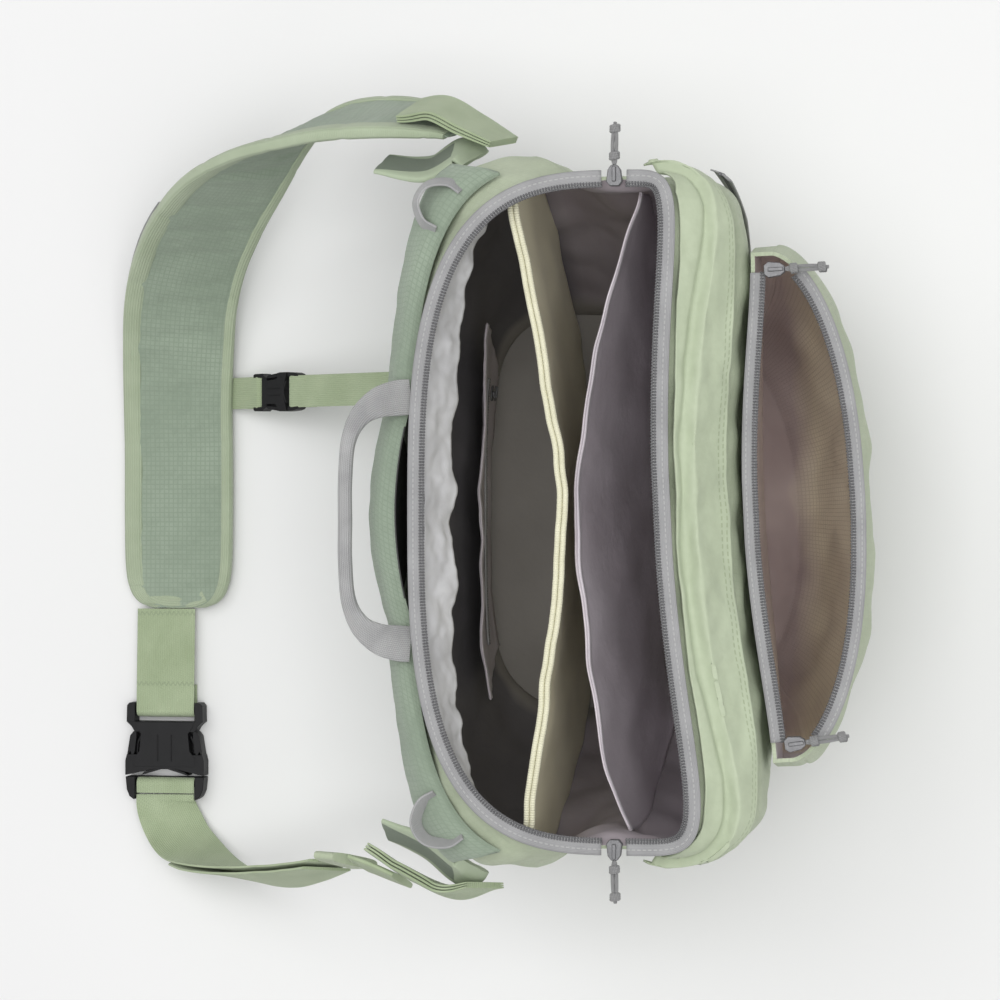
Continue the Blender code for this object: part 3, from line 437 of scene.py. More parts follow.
shell_green = ripstop(Finish("shell_green", 0.66, 0.15), (0.515, 0.575, 0.425),
                      (0.400, 0.460, 0.320), 0.0042, lines=0.14)


def dark_lining():
    """Mauve towards the front and brown on the floor, painted charcoal as shade along the back wall, and
    lighter and darker at its creases as painted light and shade.
    """
    finish = Finish("compartment_lining", 0.58, 0.05)
    _, y, z = finish.place()
    # the same noise bumps the creases and paints them lighter and darker: painted light and shade
    fold_bump_and_shade = finish.mottle(14.0, 3.0, (1.0, 1.0, 0.55))
    front = finish.blend(fold_bump_and_shade * 1.6 - 0.3, (0.20, 0.165, 0.18), (0.46, 0.42, 0.45))
    # the back wall's charcoal is painted shade
    back = finish.blend(fold_bump_and_shade * 1.6 - 0.3, (0.085, 0.080, 0.085), (0.19, 0.18, 0.185))
    floor = finish.blend(fold_bump_and_shade, (0.20, 0.185, 0.17), (0.34, 0.32, 0.29))
    walls = finish.blend(y * 60.0 - 0.4, front, back)
    finish.paint(finish.blend((z - 0.012) * 160.0, floor, walls))
    finish.relief(fold_bump_and_shade * 1.2 + finish.mottle(160.0, 2.0) * 0.2, 0.0022, 0.6)
    return finish


def opened(piece, thickness):
    """Takes the face off a closed bag's mouth and lines its wall with its second finish."""
    bm = bmesh.new()
    bm.from_mesh(piece.data)
    mouth = max(bm.faces, key=lambda face: face.calc_center_median().z if len(face.verts) > 9 else -1.0)
    bmesh.ops.delete(bm, geom=[mouth], context="FACES_ONLY")
    bm.to_mesh(piece.data)
    bm.free()
    wall = piece.modifiers.new("wall", "SOLIDIFY")
    wall.thickness = thickness
    wall.offset = -1.0
    wall.material_offset = 1


compartment_lining = dark_lining()
levels = np.concatenate([[0.0, 0.006, 0.014, 0.026], np.linspace(0.04, 1.0, SHELL_ROWS)])
shell_turns = np.linspace(0.0, 2.0, SHELL_COLUMNS + 1)
shell_points = np.stack([on_outline(shell_turns, level) for level in levels])
shell_points[4:-4] = eased(shell_points[4:-4], 5)

# each soft dent in the two end panels: turn, height, reach along and up, depth
for turn, height, wide, tall, deep in (
    (0.045, 0.90, 0.035, 0.060, 0.0022), (0.085, 0.72, 0.030, 0.10, 0.0040),
    (1.955, 0.80, 0.030, 0.09, 0.0050), (1.90, 0.62, 0.040, 0.10, 0.0045),
    (0.985, 0.84, 0.030, 0.08, 0.0045), (0.93, 0.66, 0.030, 0.10, 0.0040),
    (1.050, 0.78, 0.030, 0.09, 0.0050), (1.110, 0.60, 0.040, 0.10, 0.0045),
    (0.020, 0.40, 0.050, 0.12, 0.0050), (1.000, 0.42, 0.050, 0.12, 0.0050),
    (1.860, 0.32, 0.060, 0.10, 0.0040), (1.150, 0.34, 0.060, 0.10, 0.0040),
):
    apart = (shell_turns - turn + 1.0) % 2.0 - 1.0
    dent = np.exp(-((apart / wide) ** 2))[None] * np.exp(-(((levels - height) / tall) ** 2))[:, None]
    shell_points -= outward(shell_points, True) * (dent * deep)[..., None]
wrinkled = creased(shell_points, depth=0.0036, spacing=0.036, seed=3.0, stretch=(1.0, 1.0, 0.6),
                   up=outward(shell_points, True), share=0.0)
still = np.clip(levels / STILL_REACH, 0.0, 1.0) * np.clip((1.0 - levels) / STILL_REACH, 0.0, 1.0)
shell_points = shell_points + (wrinkled - shell_points) * still[:, None, None]
shell_points[:, -1] = shell_points[:, 0]
body_shell = patch("body_shell", shell_points, [shell_green, compartment_lining], cap=True)
opened(body_shell, SHELL_WALL)
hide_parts("main_shell")

# The padded back panel: open-cell foam quilted between two layers of blue-green ripstop
# and bound at its edge; its middle is left open at the top as a slot pocket.
PANEL_THICKNESS = 0.011
PANEL_EDGE = 0.005
PANEL_CROWN = 0.004
SLOT_DEPTH = 0.010
SLOT_HALF_TURN = 0.135
SLOT_BOTTOM = 0.40
PANEL_TOP = 0.945
PANEL_BOTTOM = 0.05
PANEL_TURNS = (3 / 32, 29 / 32)
PANEL_SPAN = PANEL_TURNS[1] - PANEL_TURNS[0]
PANEL_SINK = 0.0008
PANEL_COLUMNS = 170
PANEL_ROWS = 44
QUILT_DEPTH = 0.0013
QUILT_PITCH = 0.107


def panel_crown(turns):
    """How far the panel swells between its two side edges."""
    return PANEL_CROWN * np.sin(pi * (turns - PANEL_TURNS[0]) / PANEL_SPAN) ** 3


def slot_depth(turns, height):
    """How far the slot pocket's mouth stands off the body."""
    across = np.clip(1.0 - ((turns - 0.5) / SLOT_HALF_TURN) ** 2, 0.0, 1.0) ** 1.3
    return SLOT_DEPTH * across * max(0.0, (height - SLOT_BOTTOM) / (PANEL_TOP - SLOT_BOTTOM))


pad_green = ripstop(Finish("pad_green", 0.70, 0.2), (0.350, 0.420, 0.330), (0.245, 0.305, 0.232),
                    0.0030, lines=0.24, show=0.6)

panel_turns = np.linspace(*PANEL_TURNS, PANEL_COLUMNS)
from_side = np.minimum(panel_turns - PANEL_TURNS[0], PANEL_TURNS[1] - panel_turns) / PANEL_SPAN
inner_face, outer_face = [], []
for height in np.linspace(PANEL_BOTTOM, PANEL_TOP, PANEL_ROWS):
    from_end = min(height - PANEL_BOTTOM, PANEL_TOP - height)
    body = np.clip(from_side / 0.05, 0.0, 1.0) ** 0.5 * min(1.0, from_end / 0.06) ** 0.5
    channel = QUILT_DEPTH * abs(sin(pi * (height - PANEL_BOTTOM) / QUILT_PITCH)) ** 0.5 - QUILT_DEPTH
    thick = PANEL_EDGE - 0.0020 * (body < 0.01) + (PANEL_THICKNESS - PANEL_EDGE + channel) * body
    stand = slot_depth(panel_turns, height) - PANEL_SINK
    inner_face.append(on_body(panel_turns, height, stand))
    outer_face.append(on_body(panel_turns, height, stand + thick + panel_crown(panel_turns)))
inner_face, outer_face = np.array(inner_face), np.array(outer_face)
outer_face = creased(outer_face, depth=0.0011, spacing=0.022, seed=9.0, stretch=(1.0, 1.0, 1.3),
                     up=outward(outer_face), share=0.4)
panel_ring = np.concatenate([inner_face, outer_face[::-1], inner_face[:1]])
quilted_panel = patch("quilted_panel", panel_ring.transpose(1, 0, 2), pad_green,
                      cap=True, sharp=70.0)
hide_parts("back_panel")

# A near-black lip between the panel and the body, painted shade that stands for the slot pocket's shaded
# inside.
SLOT_LIP_TURNS = (0.405, 0.595)
SLOT_LIP_HEIGHTS = (0.70, PANEL_TOP + 0.004)
# the lip's near-black colour is painted shade
slot_shade = Finish("slot_painted_shade", 0.8).tinted(60.0, (0.035, 0.034, 0.036), (0.075, 0.072, 0.075))
slot_shade.relief(slot_shade.mottle(300.0), 0.0005)
lip_turns = np.linspace(*SLOT_LIP_TURNS, 40)
lip = np.stack([on_body(lip_turns, height, GAP * 2 + slot_depth(lip_turns, height) * 0.86)
                for height in np.linspace(*SLOT_LIP_HEIGHTS, 14)])
patch("slot_painted_shade", lip, slot_shade, wall=0.0008)

# The front band: one layer of shell fabric gathered into a long pleat between the main zip
# and the front pocket, with a double row of stitches.
BAND_THICKNESS = 0.0022
PLEAT_RISE = 0.0058
BAND_LINES = 44
BAND_COLUMNS = 260
BAND_TURNS = (1.0 + 3 / 32, 1.0 + 29 / 32)
BAND_FOOT = 0.905
BAND_RISE = 0.080
FOLD_MIDDLE = 0.80
FOLD_FALL = 0.58
FOLD_HALF_TURN = 0.41
TUCK_DEPTH = 0.0022
TUCK_PLACE = 0.06
GATHER_DEPTH = 0.0014
STITCH_SHARE = 0.62


def stitched(finish, rows, pitch=0.0036, width=0.00045):
    """Rows of stitches at distances across the cloth map, as a share from 0 to 1."""
    along, across = finish.cloth()
    dash = (along / pitch).part() < STITCH_SHARE
    lines = [((across - row).size() < width) * dash for row in rows]
    return reduce(Signal.most, lines)


def band_fabric():
    """The shell's green, a little darker, with two rows of stitches near its lower edge."""
    finish = Finish("band_fabric", 0.66, 0.15)
    seam = stitched(finish, (0.0026, 0.0058))
    colour = finish.dyed((0.375, 0.430, 0.300), (0.460, 0.520, 0.380))
    finish.paint(finish.blend(seam * 0.6, colour, (0.27, 0.32, 0.20)))
    finish.relief(seam * 0.6 + finish.mottle(90.0, 3.0) * 1.6, 0.0006, 0.6)
    return finish


band_green = band_fabric()
band_turns = np.linspace(*BAND_TURNS, BAND_COLUMNS)
band_rows = []
band_shares = np.linspace(0.0, 1.0, BAND_LINES)
fold_line = FOLD_MIDDLE - FOLD_FALL * np.abs((band_turns - 1.5) / FOLD_HALF_TURN) ** 2.4
for share in band_shares:
    height = BAND_FOOT + BAND_RISE * share
    below = fold_line - share
    step = np.clip((below + 0.02) / 0.12, 0.0, 1.0)
    pleat = PLEAT_RISE * step**2 * (3.0 - 2.0 * step) * np.exp(-np.clip(below, 0.0, 1.0) / 0.5)
    pleat = pleat - TUCK_DEPTH * np.exp(-(((below + TUCK_PLACE) / TUCK_PLACE) ** 2))
    band_rows.append(on_body(band_turns, height, 4 * GAP + BAND_THICKNESS * 0.8 + pleat))
band_points = eased(eased(np.array(band_rows), 2), 3, 1)
bulge = np.sin(band_shares * pi)[:, None, None]
drift = 2.0 * np.sin(np.linspace(0.0, 11.0, BAND_COLUMNS))
gather = GATHER_DEPTH * np.sin(np.linspace(0.0, 37.0, BAND_COLUMNS) + drift)[None, :, None] * bulge
band_points = band_points + outward(band_points) * gather * 0.6
band_points = creased(band_points, depth=0.0016, spacing=0.026, seed=14.0, stretch=(1.0, 1.6, 1.0),
                      share=0.6)
pleated_band = patch("pleated_band", band_points, band_green, wall=0.0012)
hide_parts("front_band")

# The front pocket: a bellows of shell fabric with a thin coated lining, sewn to the body
# below the band and open along its two zip tapes.
POCKET_DEPTH = 0.064
POCKET_WALL = 0.0022
POCKET_SIDE = 0.17
POCKET_TOP = 0.88
POCKET_BOTTOM = 0.04
POCKET_RIM_DROP = 0.016
POCKET_HALF_TURN = 15 / 64
POCKET_MIDDLE = 1.0 + 33 / 64
# height, fullness
POCKET_PROFILE = np.array((
    (0.0, 0.42), (0.14, 0.66), (0.32, 0.84), (0.55, 0.95), (0.75, 1.0), (1.0, 0.98),
))
BODY_SIDE_COLUMNS = 110
FRONT_COLUMNS = 170
END_COLUMNS = 8


def pocket_line(across, height, inset, outer):
    """Places along the pocket at one height, on its outer wall or on the wall by the body."""
    across = np.asarray(across, dtype=float)
    turns = POCKET_MIDDLE + across * (POCKET_HALF_TURN - inset / 0.5)
    reach = np.full(across.shape, GAP * 3 + inset)
    if outer:
        arc = np.clip(1.0 - np.abs(across) ** 2.2, 0.0, 1.0) ** 0.62
        fullness = np.interp(height, POCKET_PROFILE[:, 0], POCKET_PROFILE[:, 1])
        reach = GAP * 3 + POCKET_DEPTH * (POCKET_SIDE + (1.0 - POCKET_SIDE) * arc) * fullness - inset
    points = beside_body(turns, height, reach)
    points[:, 2] -= POCKET_RIM_DROP * (reach / POCKET_DEPTH) * (height / POCKET_TOP) ** 3
    return points


def pocket_inside():
    """The lining: deep violet as painted shade by the body, brown with a check on the outer wall as painted
    light shining through the green shell, light lavender as painted light high on that wall, and lighter and
    darker at its creases as painted light and shade.
    """
    finish = Finish("pocket_lining", 0.40, 0.05, 0.5)
    along, across = finish.cloth()
    fold_bump_and_shade = finish.mottle(16.0, 3.0, (1.0, 1.0, 0.5))
    x, y, z = finish.place()
    # violet painted as shade on the wall by the body
    shaded_violet = finish.blend(fold_bump_and_shade * 1.5 - 0.2, (0.40, 0.31, 0.31), (0.70, 0.60, 0.58))
    check = ((along / 0.003).part() < 0.14).most((across / 0.003).part() < 0.14)
    # brown painted as light shining through the outer wall's green shell
    brown = finish.blend(fold_bump_and_shade * 1.5 - 0.2, (0.78, 0.68, 0.50), (0.94, 0.86, 0.68))
    brown = finish.blend(check * 0.30, brown, (0.52, 0.44, 0.32))
    # light lavender painted as lit, high on the outer wall
    lit_lavender = finish.blend(fold_bump_and_shade * 1.7 - 0.5, (0.66, 0.62, 0.67), (0.95, 0.93, 0.96))
    high = (z - 0.150 + (fold_bump_and_shade - 0.5) * 0.06) * 60.0
    outer_side = (y * -1.0 - 0.138 + x * x * 2.2) * 90.0
    inner = finish.blend(high * outer_side.sum("MINIMUM", 1.0).most(0.0), brown, lit_lavender)
    finish.paint(finish.blend((y * -1.0 - 0.122 + (fold_bump_and_shade - 0.5) * 0.03) * 60.0, shaded_violet, inner))
    finish.relief(fold_bump_and_shade * 1.5 + check * 0.05, 0.004, 0.9)
    return finish


pocket_lining = pocket_inside()
pocket_levels = np.concatenate([[POCKET_BOTTOM], np.linspace(0.05, POCKET_TOP, 46)])
inner_shares = np.linspace(-1.0, 1.0, BODY_SIDE_COLUMNS)
outer_shares = np.sin(np.linspace(pi / 2.0, -pi / 2.0, FRONT_COLUMNS))
pocket_rows = []
for height in pocket_levels:
    by_body = pocket_line(inner_shares, height, 0.0, False)
    front = pocket_line(outer_shares, height, 0.0, True)
    near_end = np.linspace(by_body[-1], front[0], END_COLUMNS)[1:-1]
    far_end = np.linspace(front[-1], by_body[0], END_COLUMNS)[1:-1]
    ring = np.concatenate([by_body, near_end, front, far_end])
    if height == POCKET_BOTTOM:
        ring[:, 2] = BODY_HEIGHT * POCKET_BOTTOM
    pocket_rows.append(ring)
pocket_points = eased(np.array(pocket_rows), 4)
pocket_points = np.concatenate([pocket_points, pocket_points[:, :1]], axis=1)
faces_out = np.zeros(pocket_points.shape[1])
faces_out[118:118 + 160] = np.sin(np.linspace(0.0, pi, 160)) ** 0.4
pocket_wrinkled = creased(pocket_points, depth=0.0042, spacing=0.040, seed=21.0,
                          stretch=(1.0, 1.0, 0.7), up=outward(pocket_points), share=0.1)
hold = np.clip((pocket_levels - POCKET_BOTTOM) / 0.06, 0.0, 1.0)
hold = hold * np.clip((POCKET_TOP - pocket_levels) / 0.10, 0.12, 1.0)
share_moved = faces_out[None, :, None] * hold[:, None, None]
pocket_points = pocket_points + (pocket_wrinkled - pocket_points) * share_moved
tackle_pocket = patch("tackle_pocket", pocket_points, [shell_green, pocket_lining], cap=True)
opened(tackle_pocket, POCKET_WALL)
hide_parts("front_pocket")

# The zips: woven grey tape with a moulded nylon coil sewn along its free edge. The main zip
# runs round the rim in two halves, the pocket has two, and one more closes the side.
MAIN_TAPE = 0.0095
POCKET_TAPE = 0.0085
TAPE_WALL = 0.0009
TAPE_END = 0.015
COIL_PITCH = 0.00165
COIL_WIDTH = 0.0017
COIL_INSET = 0.0013
COIL_RISE = 0.00165
BEAD_RADIUS = 0.00086
WIDE_BEAD_RADIUS = 0.00095
TAPE_ARCH = 0.0005
POCKET_TAPE_END = 0.93
TAPE_LINES = 9
UP = np.array((0.0, 0.0, 1.0))


def tape_fabric():
    finish = Finish("zip_tape", 0.75, 0.1)
    along, across = finish.cloth()
    ribs = across.wave(0.0009)
    seam = ((across - 0.0062).size() < 0.00035) * ((along / 0.003).part() < STITCH_SHARE)
    tone = finish.blend(finish.mottle(60.0) + ribs * 0.15, (0.24, 0.24, 0.245), (0.37, 0.37, 0.375))
    finish.paint(finish.blend(seam * 0.5, tone, (0.50, 0.50, 0.49)))
    finish.relief(ribs * 0.4 + along.wave(0.0008) * 0.2 + seam, 0.0003, 0.6)
    return finish


zip_tape = tape_fabric()
coil_grey = Finish("zip_coil", 0.38, 0.0, 0.5).tinted(200.0, (0.085, 0.085, 0.09), (0.15, 0.15, 0.155))
coil_grey.relief(coil_grey.mottle(900.0), 0.0002)


def beads(name, run, line, radius, stretch, outs=None):
    """A coil as a bead at each turn along a line, or as two side by side along outs."""
    bm = bmesh.new()
    for place in np.linspace(0.0, run[-1], int(run[-1] / COIL_PITCH)):
        at = Vector([np.interp(place, run, line[:, axis]) for axis in range(3)])
        spots = [Matrix.Translation(at)]
        if outs is not None:
            out = Vector([np.interp(place, run, outs[:, axis]) for axis in range(3)]).normalized()
            spots = [placed(at + out * side * COIL_WIDTH, out, Vector((-out.y, out.x, 0.0)), Vector(UP))
                     for side in (-0.5, 0.5)]
        for spot in spots:
            bead = spot @ Matrix.Diagonal((*stretch, 1.0))
            bmesh.ops.create_icosphere(bm, subdivisions=1, radius=radius, matrix=bead)
    return sewn(name, bm, coil_grey, sharp=80.0)


def zip_half(name, line, outs, width, node, coil_side=-1.0):
    """A tape whose width runs along outs, and the coil along one of its edges."""
    rows = []
    for share in np.linspace(-1.0, 1.0, TAPE_LINES) * -coil_side:
        arch = TAPE_ARCH * (1.0 - share**2)
        rows.append(line + outs * width / 2.0 * share + UP * (TAPE_WALL + arch))
    run = run_along(line)
    marks = np.stack(np.meshgrid(run, np.linspace(0.0, width, TAPE_LINES)), axis=2)
    strip = patch(name, np.array(rows), zip_tape, marks, wall=TAPE_WALL,
                  offset=-1.0 if coil_side > 0 else 1.0)
    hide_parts(node)
    free_edge = line + outs * coil_side * (width / 2.0 - COIL_INSET) + UP * COIL_RISE
    beads(name + "_coil", run, free_edge, BEAD_RADIUS, (1.15, 0.8, 0.85), outs)


rim_up = UP * GAP * 2
for tag, first in (("back", 0.0), ("front", 1.0)):
    turns = np.linspace(first + TAPE_END, first + 1.0 - TAPE_END, 220)
    line = beside_body(turns, 1.0, -SHELL_WALL / 2.0) + rim_up
    zip_half("main_tape_" + tag, line, level_out(turns, 1.0), MAIN_TAPE, "main_zip_" + tag)

tape_shares = np.linspace(-POCKET_TAPE_END, POCKET_TAPE_END, 160)
for tag, outer in (("inner", False), ("outer", True)):
    line = pocket_line(tape_shares, POCKET_TOP, POCKET_WALL / 2.0, outer)
    line[:, 2] += GAP * 4
    outs = right_of(np.gradient(line, axis=0))
    if not outer:
        line = line + outs * (POCKET_TAPE / 2.0 - POCKET_WALL / 2.0 - GAP)
    zip_half("pocket_tape_" + tag, line, outs, POCKET_TAPE, "pocket_zip_" + tag, -1.0 if outer else 1.0)

SIDE_TURN = 1.825
SIDE_LEAN = 0.045
SIDE_TOP = 0.80
SIDE_DROP = 0.50
SIDE_HALF_TURN = 0.0089
side_rows = []
for share in np.linspace(-1.0, 1.0, TAPE_LINES):
    stand = GAP * 4 + 0.0010 + 0.0006 * (1.0 - share**2)
    side_rows.append([on_body([SIDE_TURN - SIDE_LEAN * step + share * SIDE_HALF_TURN],
                              SIDE_TOP - SIDE_DROP * step, stand)[0] for step in np.linspace(0.0, 1.0, 40)])
side_tape = patch("side_tape", np.array(side_rows), zip_tape, wall=TAPE_WALL, offset=1.0)
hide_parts("side_zip")
middle = np.array(side_rows[TAPE_LINES // 2])
beads("side_coil", run_along(middle), middle, WIDE_BEAD_RADIUS, (1.5, 1.5, 0.8))

# The divider: thin foam between two sheets of khaki lining, with two rows of cream piping
# along its top edge, hung across the compartment between the end seams.
FLOOR_TOP = 0.004
LINING_INSET = 0.0105
DIVIDER_TOP = 0.235
DIVIDER_THICKNESS = 0.0032
DIVIDER_CREST = (
    (-0.161, 0.006), (-0.113, -0.0025), (-0.074, -0.007), (-0.024, -0.0126), (0.015, -0.0142),
    (0.037, -0.011), (0.081, -0.004), (0.137, 0.006), (0.173, 0.0145),
)
DIVIDER_ENDS = (0.0145, 0.006)
SHEET_COLUMNS = 150
SHEET_ROWS = 40
PIPING_RADIUS = 0.0016


def side_reach(y, height, side):
    """Half of the body's length at one place across it."""
    (_, back), (_, front) = body_outline(round(float(height), 5))
    half = DENSE // 2
    line = np.concatenate([back[:half], front[half:]] if side > 0 else [back[half:], front[:half]])
    order = np.argsort(line[:, 1])
    return float(np.interp(y, line[order, 1], line[order, 0]))


def across_bag(ends, crest, top, shares, heights):
    """Rows of points of a sheet that stands across the bag and bends to its crest's line."""
    crest = np.array(crest)
    rows = []
    for height in heights:
        low = np.array((side_reach(ends[1], height, -1) + LINING_INSET, ends[1]))
        high = np.array((side_reach(ends[0], height, 1) - LINING_INSET, ends[0]))
        row = np.empty((len(shares), 3))
        row[:, :2] = low + (high - low) * ((shares + 1.0) / 2.0)[:, None]
        rise = height * BODY_HEIGHT / top
        bent = np.interp(row[:, 0], crest[:, 0], crest[:, 1])
        for _ in range(4):
            bent[1:-1] = (bent[:-2] + 2.0 * bent[1:-1] + bent[2:]) / 4.0
        row[:, 1] += (bent - row[:, 1]) * (0.3 + 0.7 * rise**2) * (1.0 - np.abs(shares) ** 12)
        row[:, 2] = height * BODY_HEIGHT - RIM_DIP * np.abs(shares) ** 4 * height**6
        rows.append(row)
    return np.array(rows)


def flat_cut(points):
    """Width and length of the flat piece that a sheet was cut from."""
    along, rise = np.diff(points, axis=1)[:-1], np.diff(points, axis=0)[:, :-1]
    area = np.linalg.norm(np.cross(along, rise), axis=2).sum()
    width = np.linalg.norm(np.diff(points[len(points) // 2], axis=0), axis=1).sum()
    return float(width), float(area / width)


khaki = Finish("divider_khaki", 0.62, 0.1)
# streaks of crease noise paint the khaki lighter and darker: painted light and shade at creases
khaki_fold_shade = khaki.mottle(26.0, 3.0, (1.0, 1.0, 0.4)) * 1.5 - 0.25
khaki.paint(khaki.blend(khaki_fold_shade, (0.68, 0.63, 0.42), (0.88, 0.84, 0.60)))
khaki.relief(khaki.mottle(40.0, 3.0, (1.0, 1.0, 0.5)), 0.0016, 0.6)
cream = Finish("cream_piping", 0.55, 0.2).tinted(120.0, (0.62, 0.60, 0.43), (0.80, 0.78, 0.60))
cream.relief(cream.cloth()[0].wave(0.0014), 0.0003, 0.5)

sheet_shares = np.linspace(-1.0, 1.0, SHEET_COLUMNS)
sheet_foot = (FLOOR_TOP + GAP * 3) / BODY_HEIGHT
divider_heights = np.linspace(sheet_foot, DIVIDER_TOP / BODY_HEIGHT, SHEET_ROWS)
divider_points = across_bag(DIVIDER_ENDS, DIVIDER_CREST, DIVIDER_TOP, sheet_shares, divider_heights)
divider_points[..., 1] += DIVIDER_THICKNESS / 2.0
divider_points = creased(divider_points, depth=0.0016, spacing=0.036, seed=31.0,
                         stretch=(1.0, 1.0, 0.5), share=1.0)
divider_sheet = patch("divider_sheet", divider_points, khaki, wall=0.0020, offset=0.0)
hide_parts("divider")
flat_cut(divider_points)


def flat_section(width, thickness, squareness, count):
    """A closed section between an ellipse, at a squareness of 2, and a rectangle."""
    angle = tau * (np.arange(count + 1) + 0.5) / count
    power = 2.0 / squareness
    across = np.sign(np.cos(angle)) * np.abs(np.cos(angle)) ** power * width / 2.0
    through = np.sign(np.sin(angle)) * np.abs(np.sin(angle)) ** power * thickness / 2.0
    return across, through


def band_grid(route, width, thickness, count=16, squareness=4.0, shift=0.0, aside=0.0):
    """Rings of a flat section along rows of x, y, z, roll in degrees and two shares."""
    route = np.asarray(route, dtype=float)
    travel = unit(np.gradient(route[:, :3], axis=0))
    level = unit(np.cross(UP, travel))
    roll = np.radians(route[:, 3])[:, None]
    across = level * np.cos(roll) + np.cross(travel, level) * np.sin(roll)
    face = np.cross(travel, across)
    centre = route[:, :3] + face * np.reshape(shift, (-1, 1)) + across * np.reshape(aside, (-1, 1))
    u, v = flat_section(1.0, 1.0, squareness, count)
    wide = width * route[:, 4][:, None] * u[None]
    thick = thickness * route[:, 5][:, None] * v[None]
    points = centre[:, None] + across[:, None] * wide[..., None] + face[:, None] * thick[..., None]
    marks = np.stack([np.repeat(run_along(centre)[:, None], count + 1, axis=1), wide], axis=2)
    return points, marks, across


def plain_route(line, roll):
    """Places along a line with one roll and the full width and thickness."""
    return [(*point, roll, 1.0, 1.0) for point in line]


def band(name, route, width, thickness, look, count=16, squareness=4.0, shift=0.0, aside=0.0):
    points, marks, _ = band_grid(route, width, thickness, count, squareness, shift, aside)
    return patch(name, points, look, marks, cap=True, sharp=60.0)


def smooth_rows(rows, steps):
    """Rows between the given ones, on a curve through all of them."""
    table = np.array(rows, dtype=float)
    padded = np.concatenate([[2 * table[0] - table[1]], table, [2 * table[-1] - table[-2]]])
    made = []
    for a, b, c, d in zip(padded, padded[1:], padded[2:], padded[3:]):
        for t in np.arange(steps) / steps:
            made.append(0.5 * (2 * b + (c - a) * t + (2 * a - 5 * b + 4 * c - d) * t**2
                               + (3 * b - a - 3 * c + d) * t**3))
    made.append(table[-1])
    return np.array(made)


divider_edge = divider_points[-1] + np.array((0.0, 0.0, 0.0006))
for tag, aside in (("near", -0.00165), ("far", 0.00165)):
    line = divider_edge + np.array((0.0, aside, 0.0))
    band("divider_piping_" + tag, plain_route(line, 0.0), PIPING_RADIUS * 2.0, PIPING_RADIUS * 2.0,
         cream, 10, 2.0)

# The slip pocket: a single sheet of mauve coated lining with a folded hem along its top,
# hung across the front of the compartment.
SLIP_TOP = 0.226
SLIP_CREST = (
    (-0.175, -0.046), (-0.125, -0.033), (-0.080, -0.0255), (-0.036, -0.0195), (0.015, -0.0180),
    (0.054, -0.0225), (0.098, -0.032), (0.143, -0.043), (0.1815, -0.054),
)
SLIP_ENDS = (-0.054, -0.050)
mauve = Finish("mauve_lining", 0.42, 0.05, 0.5)
# the same noise bumps the creases and paints them lighter and darker: painted light and shade
mauve_fold_bump_and_shade = mauve.mottle(15.0, 3.0, (1.0, 1.0, 0.45))
mauve.paint(mauve.blend(mauve_fold_bump_and_shade * 1.7 - 0.35, (0.42, 0.37, 0.40), (0.68, 0.63, 0.67)))
mauve.relief(mauve_fold_bump_and_shade * 1.4 + mauve.mottle(200.0) * 0.08, 0.0050, 0.9)
mauve_hem = Finish("mauve_hem", 0.5, 0.1)
hem_seam = stitched(mauve_hem, (0.0015, -0.0015), 0.003)
hem_tone = mauve_hem.blend(mauve_hem.mottle(60.0), (0.48, 0.44, 0.47), (0.60, 0.56, 0.59))
mauve_hem.paint(mauve_hem.blend(hem_seam * 0.8, hem_tone, (0.55, 0.52, 0.52)))
mauve_hem.relief(hem_seam + mauve_hem.mottle(90.0), 0.0004)

slip_heights = np.linspace(sheet_foot, SLIP_TOP / BODY_HEIGHT, SHEET_ROWS)
slip_points = across_bag(SLIP_ENDS, SLIP_CREST, SLIP_TOP, sheet_shares, slip_heights)
slip_points[..., 1] += 0.0007
slip_points = creased(slip_points, depth=0.0038, spacing=0.060, seed=41.0, stretch=(1.0, 1.0, 0.45),
                      share=1.0)
slip_sheet = patch("slip_sheet", slip_points, mauve, wall=0.0009, offset=0.0)
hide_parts("slip_pocket")
flat_cut(slip_points)
band("slip_hem", plain_route(slip_points[-2], 90.0), 0.0070, 0.0020, mauve_hem, 12, 4.0)

# The collar facing: a strip of light grey lining sewn inside the back rim, where it hangs
# free and buckles along its lower edge.
COLLAR_WIDTH = 0.0195
COLLAR_TURNS = (4 / 32, 28 / 32)
COLLAR_HEIGHTS = (0.90, 0.985)
COLLAR_INSET = 0.0051
facing_grey = Finish("facing_grey", 0.5, 0.15)
# the same noise bumps the creases and paints them lighter and darker: painted light and shade
facing_fold_bump_and_shade = facing_grey.mottle(34.0, 3.0, (1.0, 1.0, 0.6))
facing_grey.paint(facing_grey.blend(facing_fold_bump_and_shade * 1.8 - 0.4, (0.40, 0.40, 0.41), (0.62, 0.62, 0.63)))
facing_grey.relief(facing_fold_bump_and_shade * 1.5 + facing_grey.mottle(220.0) * 0.15, 0.0016, 0.8)
collar_turns = np.linspace(*COLLAR_TURNS, 260)
collar_rows = []
for share in np.linspace(0.0, 1.0, 20):
    height = COLLAR_HEIGHTS[0] + (COLLAR_HEIGHTS[1] - COLLAR_HEIGHTS[0]) * share
    free = (1.0 - share) ** 1.4
    ripple = 0.0017 * np.sin(collar_turns * 31.0 + 3.0 * np.sin(collar_turns * 13.0)) * free
    ripple = ripple + 0.0007 * np.sin(collar_turns * 118.0 + 2.0) * free
    lean = COLLAR_INSET + COLLAR_WIDTH * (1.0 - share) + ripple
    row = beside_body(collar_turns, height, -lean - 0.0007)
    row[:, 2] += 0.0010 * free * np.sin(collar_turns * 61.0)
    collar_rows.append(row)
collar_points = creased(np.array(collar_rows), depth=0.0016, spacing=0.012, seed=55.0, share=1.0)
collar_sheet = patch("collar_sheet", collar_points, facing_grey, wall=0.0007, offset=0.0)
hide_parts("collar_facing")
